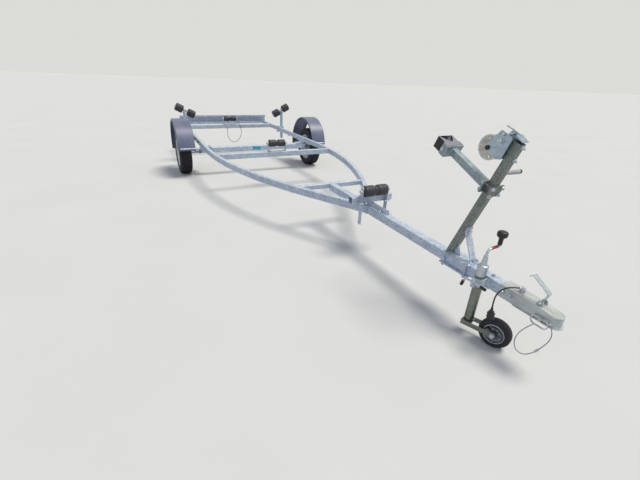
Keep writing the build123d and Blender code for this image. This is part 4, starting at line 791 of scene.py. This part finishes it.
bolts("winch_foot_bolts", {Y_FRONT: [(0, -46, 185), (0, -40, 600), (0, -40, 665)]}, tail=9, copies=ONE,
      drawing=on_post)
bolts("winch_tie_bolt", {X_OUT: [(WINCH_SIDE, 45, 98)]}, 8, 2, drawing=on_winch)
bolts("winch_shaft_nut", {X_IN: [(-WINCH_SIDE, *CRANK_AT[1:])]}, 14, copies=ONE, drawing=on_winch,
      body="crank")
bolts("bow_stop_bolts", {X_OUT: [(56, 25, 0)]}, tail=2, drawing=on_arm_end)
bolts("coupling_bolts", {X_OUT: [(34, y, 428) for y in (-4130, -4168)]}, 12, 4)
bolts("handle_pivot_nuts", {X_OUT: [(18, -4296, 467)]}, 8, 2)
bolts("jockey_clamp_bolts", {UP: [(-6, y, 461) for y in (-4045, -3981)]}, copies=ONE)
bolts("jockey_axle_nuts", {X_OUT: [(35, *JOCKEY_HUB[1:])]}, 12, 2, drawing=on_fork, body="jockey_caster")

# %% [markdown]
# ## Wheel bolts, side roller pivots and shaft caps
# Five bolts hold each wheel, and a rubber valve looks out of its rim. A side roller head turns on one bolt,
# and dished washers and domed caps keep its rollers on their shaft.

# %% Wheel bolts and roller caps
WHEEL_BOLTS = 5
BOLT_CIRCLE = 50.0
DISC_FACE = WHEEL_X + 34.0
HUB_AT = (0, WHEEL_Y, WHEEL_Z)
HEAD_FACE = 21.8
ROLLER_END = SIDE_PLACES["outer"] + 55.6
CAP_PROFILE = [(0, 8), (0, 15), (1.5, 16), (3, 14), (4, 12.5), (9, 12), (12, 9), (13.5, 4), (13.8, 0)]
VALVE = [(0, 0), (0, 5.5), (10, 5.5), (12, 4), (24, 3.6), (26, 4.2), (34, 4.2), (35, 3), (35, 0)]

wheel_bolts = [part for i in range(WHEEL_BOLTS)
               for part in fastener(turned((DISC_FACE, BOLT_CIRCLE, 0), 0, 360 * i / WHEEL_BOLTS, HUB_AT),
                                    X_OUT, 12, 0, i * TURN_STEP)]
valve = lathe(VALVE, turned((WHEEL_X + 16, 138, 0), 0, 75, HUB_AT), (1, 0, 0.12), 16)
pivot_nuts = [part for sign in (1, -1) for part in fastener((0, sign * HEAD_FACE, 0), (0, sign, 0), 16, 2)]
caps = [lathe(CAP_PROFILE, (sign * ROLLER_END, 0, SIDE_SHAFT), (sign, 0, 0), 28, closed=True)
        for sign in (-1, 1)]
for side, place in SIDES:
    piece("wheel_bolts_" + side, [moved(part, place) for part in wheel_bolts], bright_zinc, "wheel_" + side)
    piece("tyre_valve_" + side, [moved(valve, place)], black_plastic, "wheel_" + side)
    piece("roller_head_hardware_" + side, [moved(part, on_head, place) for part in pivot_nuts + caps],
          bright_zinc, "rocker_" + side)

# %% [markdown]
# ## Weld beads
# The frame is welded, and a bead runs round each joint as a row of small overlapping ripples. A bead is a
# round section carried along the joint's line, and it swells every 5 mm: r times (1 + 0.15 sin(2 pi s /
# 5)). The lines come from the rails' own path, which is straight, then an arc, then straight to the
# drawbar.

# %% Lines of the welds
RAIL_X = 735.0
RAIL_Z = 426.0
RAIL_HALF_WIDE = 20.0
RAIL_HALF_HIGH = 30.0
RAIL_TOP = RAIL_Z + RAIL_HALF_HIGH
BEND_START = -600.0
BEND_RADIUS = 3980.0


def rail_at(y):
    """The left rail's middle x and its heading's angle at a y on its straight part or its arc."""
    angle = math.asin(max(BEND_START - y, 0) / BEND_RADIUS)
    return RAIL_X - BEND_RADIUS * (1 - math.cos(angle)), angle


def loop(at, a, b):
    """The closed line round a rectangle with its middle at a point; a and b reach from it to two sides."""
    at, a, b = (np.array(v, float) for v in (at, a, b))
    return np.array([at - b, at - b + a, at + b + a, at + b - a, at - b - a, at - b])


def member_joint(y, low):
    """The line round a cross member's end, on the rail's inner face, which may slant."""
    inside = [rail_at(y + step)[0] - RAIL_HALF_WIDE / math.cos(rail_at(y + step)[1]) for step in (-20, 0, 20)]
    return loop((inside[1], y, (low + RAIL_TOP) / 2), ((inside[2] - inside[0]) / 2, 20, 0),
                (0, 0, (RAIL_TOP - low) / 2))


def rail_joint(y):
    """The line round the rail itself, square to its heading."""
    x, angle = rail_at(y)
    return loop((x, y, RAIL_Z), (RAIL_HALF_WIDE * math.cos(angle), -RAIL_HALF_WIDE * math.sin(angle), 0),
                (0, 0, RAIL_HALF_HIGH))


print("rail's middle at the middle bar, x", round(rail_at(MIDDLE_BAR)[0], 1), "mm")

# %% [markdown]
# ## Laying the beads
# Each call lays beads of one thickness; up is a way that their lines never follow. The mudguards' stays
# pass through plates, and a ring of weld closes each.

# %% Weld beads
RIPPLE_MM = 5.0
RIPPLE_SHARE = 0.15
BEAD_STEP = 1.9
EAR_FACES = (105.5, 111.5)
STAY_RING = [(0, 9.5), (0.5, 13), (2, 13.6), (3.8, 11.6), (4.2, 9.5)]


def bead(path, radius, up):
    """A round section along a joint's line that swells and shrinks with its ripples."""
    line = spaced(rounded(path, 2 * radius) if len(path) > 2 else path, BEAD_STEP)
    s = np.arange(len(line)) * BEAD_STEP
    return sweep(line, circle(radius, 8), up, 1 + RIPPLE_SHARE * np.sin(2 * math.pi * s / RIPPLE_MM))


def beads(lines, radius, up=UP, copies=BOTH, drawing=np.asarray):
    """Beads along several lines, on both sides of the trailer or one."""
    return [moved(bead(line, radius, up), copy, drawing) for line in lines for copy in copies]


welds = [
    *beads([member_joint(REAR_BAR, 396), member_joint(MIDDLE_BAR, 396), member_joint(-2340, 416),
            loop((30, -2918, RAIL_Z), (0, 43, 0), (0, 0, RAIL_HALF_HIGH))], 3.2, X_OUT),
    *beads([rail_joint(-1266), rail_joint(-2298)], 2.4, Y_BACK),
    *beads([loop((RAIL_X, 1660, 435.5), (20, 0, 0), (0, 0, 20.5)),
            *([(x, -2968, 489), (x, -2968, 535)] for x in EAR_FACES)], 3.0, Y_BACK),
    *beads([loop((0, -2360, 436), (30, 0, 0), (0, 0, 20))], 3.0, Y_BACK, ONE),
    *beads([[(x, y - 16, 461.5), (x, y + 16, 461.5)]
            for x in EAR_FACES for y in (REAR_BAR, MIDDLE_BAR)], 2.6),
    *beads([[(8.5, -2966, 486.5), (8.5, -2920, 486.5)], [(3.5, -3780, 462.5), (3.5, -3824, 462.5)],
            [(706.5, -168, 382.5), (706.5, -72, 382.5)], [(602, -165.5, 374.5), (706, -165.5, 374.5)]], 2.8),
    *beads([loop((0, -3755, 462.5), (20, 0, 0), (0, 21.2, 0))], 2.8, copies=ONE),
    *beads([[(-35.5, y, 406), (-35.5, y, 446)] for y in (-4038, -3988)], 2.6, X_OUT, ONE),
    *beads([loop((0, 8.5, 432), (20.5, 0, 0), (0, 0, 20.5))], 2.8, Y_BACK, ONE, on_post),
    *beads([loop((0, -0.5, 0), (20.5, 0, 0), (0, 0, 20.5))], 2.8, Y_BACK, ONE, on_arm_end),
    *(lathe(STAY_RING, (sign * 766.5, y, 386), (sign, 0, 0), 24, closed=True)
      for y in STAY_Y for sign in (1, -1)),
]
piece("weld_beads", welds, weld_zinc, smooth=60)

# %% [markdown]
# ## Clips of the front roller
# The front roller's two ears are held on their cross tube by bent rods that pass in front of each ear and
# go back through the tube. Each is a round section along a path of three runs with rounded corners.

# %% Clips of the front roller
CLIP_ROD = 4.0
CLIP_Z = 498.0
CLIP_LEG = 22
CLIP_PATH = [(-CLIP_LEG, -2914), (-CLIP_LEG, -3006.5), (CLIP_LEG, -3006.5), (CLIP_LEG, -2914)]
EARS = (-108.5, 108.5)

rods = [sweep(rounded([(ear + x, y, CLIP_Z) for x, y in CLIP_PATH], 12, 8), circle(CLIP_ROD, 16))
        for ear in EARS]
nuts = [part for ear in EARS for leg in (-CLIP_LEG, CLIP_LEG)
        for part in fastener((ear + leg, -2918, CLIP_Z), Y_BACK, 8, 0, leg)]
piece("front_roller_clips", rods + nuts, bright_zinc)

# %% [markdown]
# ## Winch
# The drum's sheet flange has a rolled bright rim, its shaft ends in dark caps, and the crank's grip is a
# tapered pale sleeve with a black end. The grip sits on the crank's pin, 160 mm from its shaft.

# %% Winch
DRUM_AT = (0, 84.0, 12.0)
GRIP_AT = (0, 6.3, -89.0)
DRUM_RIM = [(-30.2, 52), (-31.2, 54), (-31.8, 56.6), (-30.8, 58.6), (-28, 59.2), (-25.4, 58.6), (-24.6, 57),
            (-25.6, 55.4), (-27, 52)]
SHAFT_CAP = [(0, 0), (0, 11.5), (3, 11.5), (6.5, 10.4), (9, 7), (10, 0)]
CRANK_RING = [(0, 9), (0, 17), (1, 17.6), (2, 17.6), (3, 16.5), (3, 9)]
GRIP = [(92, 5.2), (92, 8.6), (94, 9.4), (120, 10.2), (150, 11.2), (176, 11.8), (182, 11.8), (182, 5.2)]
GRIP_END = [(182, 5.2), (182, 12), (189, 12.2), (194, 11), (196.5, 7), (197, 0), (190, 0), (190, 5.2)]

drum_rim = lathe(DRUM_RIM, DRUM_AT, sides=72, closed=True)
shaft_caps = [lathe(SHAFT_CAP, (x, *DRUM_AT[1:]), (x, 0, 0), 28) for x in (-WINCH_SIDE, WINCH_SIDE)]
crank_ring = lathe(CRANK_RING, (-WINCH_SIDE - 0.2, *CRANK_AT[1:]), X_IN, 32, closed=True)
grip = lathe(GRIP, GRIP_AT, closed=True)
piece("winch_drum_rim", [moved(drum_rim, on_winch)], bright_zinc, "drum")
piece("winch_shaft_caps", [moved(cap, on_winch) for cap in shaft_caps], black_plastic)
piece("winch_crank_ring", [moved(crank_ring, on_winch)], bright_zinc, "crank")
piece("winch_grip_sleeve", [moved(grip, on_winch)], grip_plastic, "crank", "winch_grip")
piece("winch_grip_end", [moved(lathe(GRIP_END, GRIP_AT), on_winch)], black_plastic, "crank")

# %% [markdown]
# ## Bow block
# The notched block that the bow leans on is one thick rubber moulding with rounded edges. Its outline is
# drawn in plan and given a thickness, and the rims are rounded by drawing the outline in while the height
# rises.

# %% Bow block
BLOCK_PLAN = [(0, 6.2), (49.8, 6.2), (49.8, 98), (40, 98), (8, 46), (-8, 46), (-40, 98), (-49.8, 98),
              (-49.8, 6.2), (0, 6.2)]
BLOCK_HALF = 32.5


def slab(outline, low, high, edge, steps=4):
    """A plate with round rims: the anticlockwise outline is drawn in by edge (1 - sin a) while its height is
    edge (1 - cos a) from each face, with a from 0 to a quarter turn."""
    before = outline - np.roll(outline, 1, axis=0)
    after = np.roll(outline, -1, axis=0) - outline
    normal = [np.stack([run[:, 1], -run[:, 0]], axis=-1) / np.linalg.norm(run, axis=1)[:, None]
              for run in (before, after)]
    outward = (normal[0] + normal[1]) / (1 + np.sum(normal[0] * normal[1], axis=1))[:, None]
    a = np.linspace(0, math.pi / 2, steps)
    inset = edge * (1 - np.sin(a))
    height = edge * (1 - np.cos(a))
    insets = np.concatenate([inset, inset[::-1]])
    heights = np.concatenate([low + height, (high - height)[::-1]])
    rings = outline[None] - insets[:, None, None] * outward[None]
    tall = np.broadcast_to(heights[:, None, None], (*rings.shape[:2], 1))
    return grid(np.concatenate([rings, tall], axis=-1))


block = slab(rounded(BLOCK_PLAN, 7)[1:], -BLOCK_HALF, BLOCK_HALF, edge=4)
piece("bow_block", [moved(block, on_arm_end)], block_rubber, stands_for="bow_stop_block", smooth=40)

# %% [markdown]
# ## Jockey wheel
# The small wheel has a solid rubber tyre on a pressed and lacquered rim with a bright rolled lip. Eight
# ribs stiffen the rim's dish: where the cosine of eight times the angle is high, the dish stands up to 5 mm
# prouder.

# %% Jockey wheel
JOCKEY_ANGLES = 96
RIBS = 8
RIB_SHARPNESS = 4
JOCKEY_TYRE = [(0, 80), (9, 79.7), (15.5, 78), (20.5, 74), (23.8, 68.5), (25, 62), (24.4, 57), (22.6, 53.4),
               (20.8, 52.2)]
JOCKEY_LIP = [(20.6, 52), (22.8, 53), (24, 52), (24, 50), (22.6, 48.8), (20, 49)]
AXLE_CAP = [(46.8, 0), (46.8, 11), (50, 10.6), (53, 8.4), (54.6, 4.4), (55, 0)]
DISH = np.array([(20, 49.5), (14, 46), (10, 42), (8.5, 36), (8.5, 26), (10, 20.5), (12, 18), (26, 15.5),
                 (29, 14), (29, 6.1)])
RIB_RISE = np.array([0, 2, 4, 5, 5, 4, 2, 0, 0, 0])


def ribbed_dish():
    """x = the dish's own x plus a rib's rise times the fourth power of the cosine's positive part."""
    rib = np.maximum(np.cos(RIBS * angles(JOCKEY_ANGLES)), 0) ** RIB_SHARPNESS
    x = DISH[:, :1] + RIB_RISE[:, None] * rib
    return spun_halves(x, DISH[:, 1:] * np.ones(JOCKEY_ANGLES), JOCKEY_HUB)


def at_both_ends(profile, sides, closed=False):
    """A turned part at both ends of the jockey wheel's axle."""
    return [moved(lathe([(sign * x, r) for x, r in profile], JOCKEY_HUB, sides=sides, closed=closed), on_fork)
            for sign in (1, -1)]


rubber = lathe(mirrored_profile(JOCKEY_TYRE), JOCKEY_HUB, sides=JOCKEY_ANGLES, closed=True)
piece("jockey_solid_tyre", [moved(rubber, on_fork)], tyre_rubber, "jockey_wheel", "jockey_tyre")
piece("jockey_ribbed_rim", [moved(ribbed_dish(), on_fork)], dish_silver, "jockey_wheel", "jockey_rim")
piece("jockey_rim_lips", at_both_ends(JOCKEY_LIP, 64, closed=True), bright_zinc, "jockey_wheel")
piece("jockey_axle_caps", at_both_ends(AXLE_CAP, 24), white_plastic, "jockey_caster")

# %% [markdown]
# ## Jockey crank and clamp lever
# The jockey tube carries a bright collar and a cone that the crank's rod comes out of. The rod wears a red
# sleeve, a white collar turns under its T-shaped black knob, and the clamp's lever has black grips on both
# ends. All are turned shapes about the tube, rod or lever that they sit on.

# %% Jockey crank and clamp lever
COLLAR = [(463, 24.2), (463, 25.4), (496, 25.4), (497, 26.4), (516, 26.4), (519.5, 25), (521, 22.5), (521, 0),
          (519, 0), (519, 24.2)]
CONE = [(520.6, 0), (520.6, 17), (523, 15.6), (536, 14.2), (552, 12.2), (570, 10.6), (574, 9.4), (575, 6.4)]
KNOB = [(0, 0), (0, 9.6), (3, 11), (26, 11), (33, 12), (38, 15.4), (42, 21), (46, 24.4), (52, 25.6),
        (62, 25.4), (67, 23.6), (70, 19.6), (71.6, 12), (72, 0)]
RED_SLEEVE = [(0, 6.4), (0, 7.2), (1, 7.6), (43, 7.6), (44, 7.2), (44, 6.4)]
WHITE_COLLAR = [(0, 0), (0, 9.2), (1, 10), (4.4, 10), (5.2, 9.4), (5.2, 0)]
LEVER_GRIP = [(0, 5), (0, 7), (1.5, 8), (26, 8.4), (31, 7.6), (33, 5), (33, 0), (30, 0), (30, 5)]
LEVER_ENDS = [((-99, -4054, 426), Y_FRONT), ((-99, -3953.5, 407), (0, 0.26, -0.97))]
ROD_START = np.array((-60, -4013, 604))
ROD_END = np.array((18, -4013, 610))
SLEEVE_START = 24
rod_way = (ROD_END - ROD_START) / np.linalg.norm(ROD_END - ROD_START)

piece("jockey_tube_collar", [lathe(profile, JOCKEY_AT, UP, 40) for profile in (COLLAR, CONE)], bright_zinc)
sleeve_at = ROD_START + SLEEVE_START * rod_way
piece("jockey_crank_sleeve", [lathe(RED_SLEEVE, sleeve_at, rod_way, 24, closed=True)], red_sleeve)
piece("jockey_knob_collar", [lathe(WHITE_COLLAR, (18, -4013, 611.5), UP, 28)], white_plastic)
piece("jockey_knob_turned", [lathe(KNOB, (18, -4013, 616.8), UP, 40)], black_plastic,
      stands_for="jockey_knob")
piece("clamp_lever_grips", [lathe(LEVER_GRIP, at, way, 24) for at, way in LEVER_ENDS], black_plastic)

# %% [markdown]
# ## Lamps, label, plugs and cable gland
# Each tail lamp is a dark housing with an amber and a red lens. The label on the axle beam is a blank film,
# the side posts end in black plugs, and the cable gland on the coupling is a hexagon with a white dome.

# %% Lamps, label, plugs and gland
LENSES = {"amber": ((672, 741), amber_lens), "red": ((530, 670), red_lens)}
GLAND_AT = (-0.6, -4197.9, 0)
HEXAGON = [(461, 0), (461, 14), (470, 14), (471.5, 12.4), (471.5, 0)]
DOME = [(474, 0), (474, 11.6), (482, 11.6), (487, 9.8), (491, 6), (492.4, 0)]


def upright(points):
    """Turns a drawing in plan upright: its y becomes z, and its height becomes y."""
    return points[..., [0, 2, 1]]


def rectangle(x, y, corner):
    """The anticlockwise outline of a rectangle between two limits each way, with round corners."""
    (left, right), (low, high) = x, y
    middle = ((left + right) / 2, low)
    return rounded([middle, (right, low), (right, high), (left, high), (left, low), middle], corner)[1:]


housing = slab(rectangle((528, 743), (440, 535), corner=14), low=1700, high=1722, edge=3)
piece("tail_lamp_housings", [moved(housing, upright, copy) for copy in BOTH], black_plastic,
      stands_for="tail_lamps")
for name, (x, finish) in LENSES.items():
    lens = slab(rectangle(x, (442, 533), corner=11), low=1719, high=1744.6, edge=6, steps=6)
    piece("tail_lamp_lenses_" + name, [moved(lens, upright, copy) for copy in BOTH], finish, smooth=50)
label = slab(rectangle((-50, 60), (320, 362), corner=3), low=-165.6, high=-164.9, edge=0.2)
piece("blank_label", [moved(label, upright)], label_film)
plugs = [slab(rectangle((755.4, 789.6), (862.9, 897.1), corner=4), low=z - 2.5, high=z + 2, edge=1.5)
         for z in (279, 698.5)]
piece("side_post_plugs", [moved(plug, copy) for plug in plugs for copy in BOTH], black_plastic)
piece("gland_hexagon", [lathe(HEXAGON, GLAND_AT, UP, 24, 24)], bright_zinc)
piece("gland_dome", [lathe(DOME, GLAND_AT, UP, 28)], white_plastic)

# %% [markdown]
# ## Floor and light
# A plain pale floor runs out of sight under a pale sky of its own colour. Two broad suns, whose angle makes
# their shadows soft, stand high: so tops are bright and sides a step darker. The sky that lights the
# trailer is weaker than the one that the camera and the zinc's reflections see.

# %% Floor
FLOOR_HALF = 400.0
FLOOR_BOUNCE = "#a6abb2"
MOTTLE_MM = 900.0


def seen_directly(tree):
    """1 for a ray of the camera, of a reflection or through glass, and 0 for light on its way."""
    ray = add(tree, "ShaderNodeLightPath").outputs
    seen = ray["Is Camera Ray"]
    for kind in ("Is Glossy Ray", "Is Transmission Ray"):
        seen = add(tree, "ShaderNodeMath", {0: seen, 1: ray[kind]}, operation="MAXIMUM").outputs["Value"]
    return seen


floor_mesh = bpy.data.meshes.new("floor")
floor_mesh.from_pydata([(x * FLOOR_HALF, y * FLOOR_HALF, 0) for x, y in ((-1, -1), (1, -1), (1, 1), (-1, 1))],
                       [], [(0, 1, 2, 3)])
floor_paint, tree, place = new_material("pale_floor_paint")
mottle = add(tree, "ShaderNodeTexNoise", {"Vector": place, "Scale": per_metre(MOTTLE_MM), "Detail": 3.0})
paint = add(tree, "ShaderNodeValToRGB", {"Fac": mottle.outputs["Fac"]}, [(0.3, "#dfdfdb"), (0.7, "#e2e2de")])
shown = add(tree, "ShaderNodeMix", {"Factor": seen_directly(tree), 6: linear(FLOOR_BOUNCE),
                                    7: paint.outputs["Color"]}, data_type="RGBA").outputs[2]
shader = add(tree, "ShaderNodeBsdfPrincipled", {"Base Color": shown, "Roughness": 0.85})
add(tree, "ShaderNodeOutputMaterial", {"Surface": shader.outputs["BSDF"]})
floor_mesh.materials.append(floor_paint)
new_object("floor", floor_mesh)
print("floor", 2 * FLOOR_HALF, "m wide")

# %% [markdown]
# ## Sky and suns
# A sun's strength is the light on a surface that faces it, its angle is how broad it looks in the sky.

# %% World and lamps
SKY_STRENGTH = 0.32
LAMPS = [
    # name, the way it shines, strength, angle in degrees, colour
    ("high_sun", (-0.34, 0.22, -1.0), 2.3, 24.0, "#fffaf2"),
    ("low_sun", (0.6, 0.5, -0.7), 0.35, 60.0, "#f2f6ff"),
]

world = bpy.data.worlds.new("pale_sky")
world.use_nodes = True
bpy.context.scene.world = world
tree = world.node_tree
tree.nodes.clear()
light = add(tree, "ShaderNodeBackground", {"Color": linear("#d9e5fb"), "Strength": SKY_STRENGTH})
view = add(tree, "ShaderNodeBackground", {"Color": linear("#dcdcd8"), "Strength": 1.0})
sky = add(tree, "ShaderNodeMixShader", {0: seen_directly(tree), 1: light.outputs["Background"],
                                        2: view.outputs["Background"]})
add(tree, "ShaderNodeOutputWorld", {"Surface": sky.outputs["Shader"]})

for name, way, strength, angle, colour in LAMPS:
    lamp = bpy.data.lights.new(name, "SUN")
    lamp.energy = strength
    lamp.angle = math.radians(angle)
    lamp.color = linear(colour)[:3]
    new_object(name, lamp).rotation_euler = Vector(way).to_track_quat("-Z", "Y").to_euler()
print("lamps", len(LAMPS))
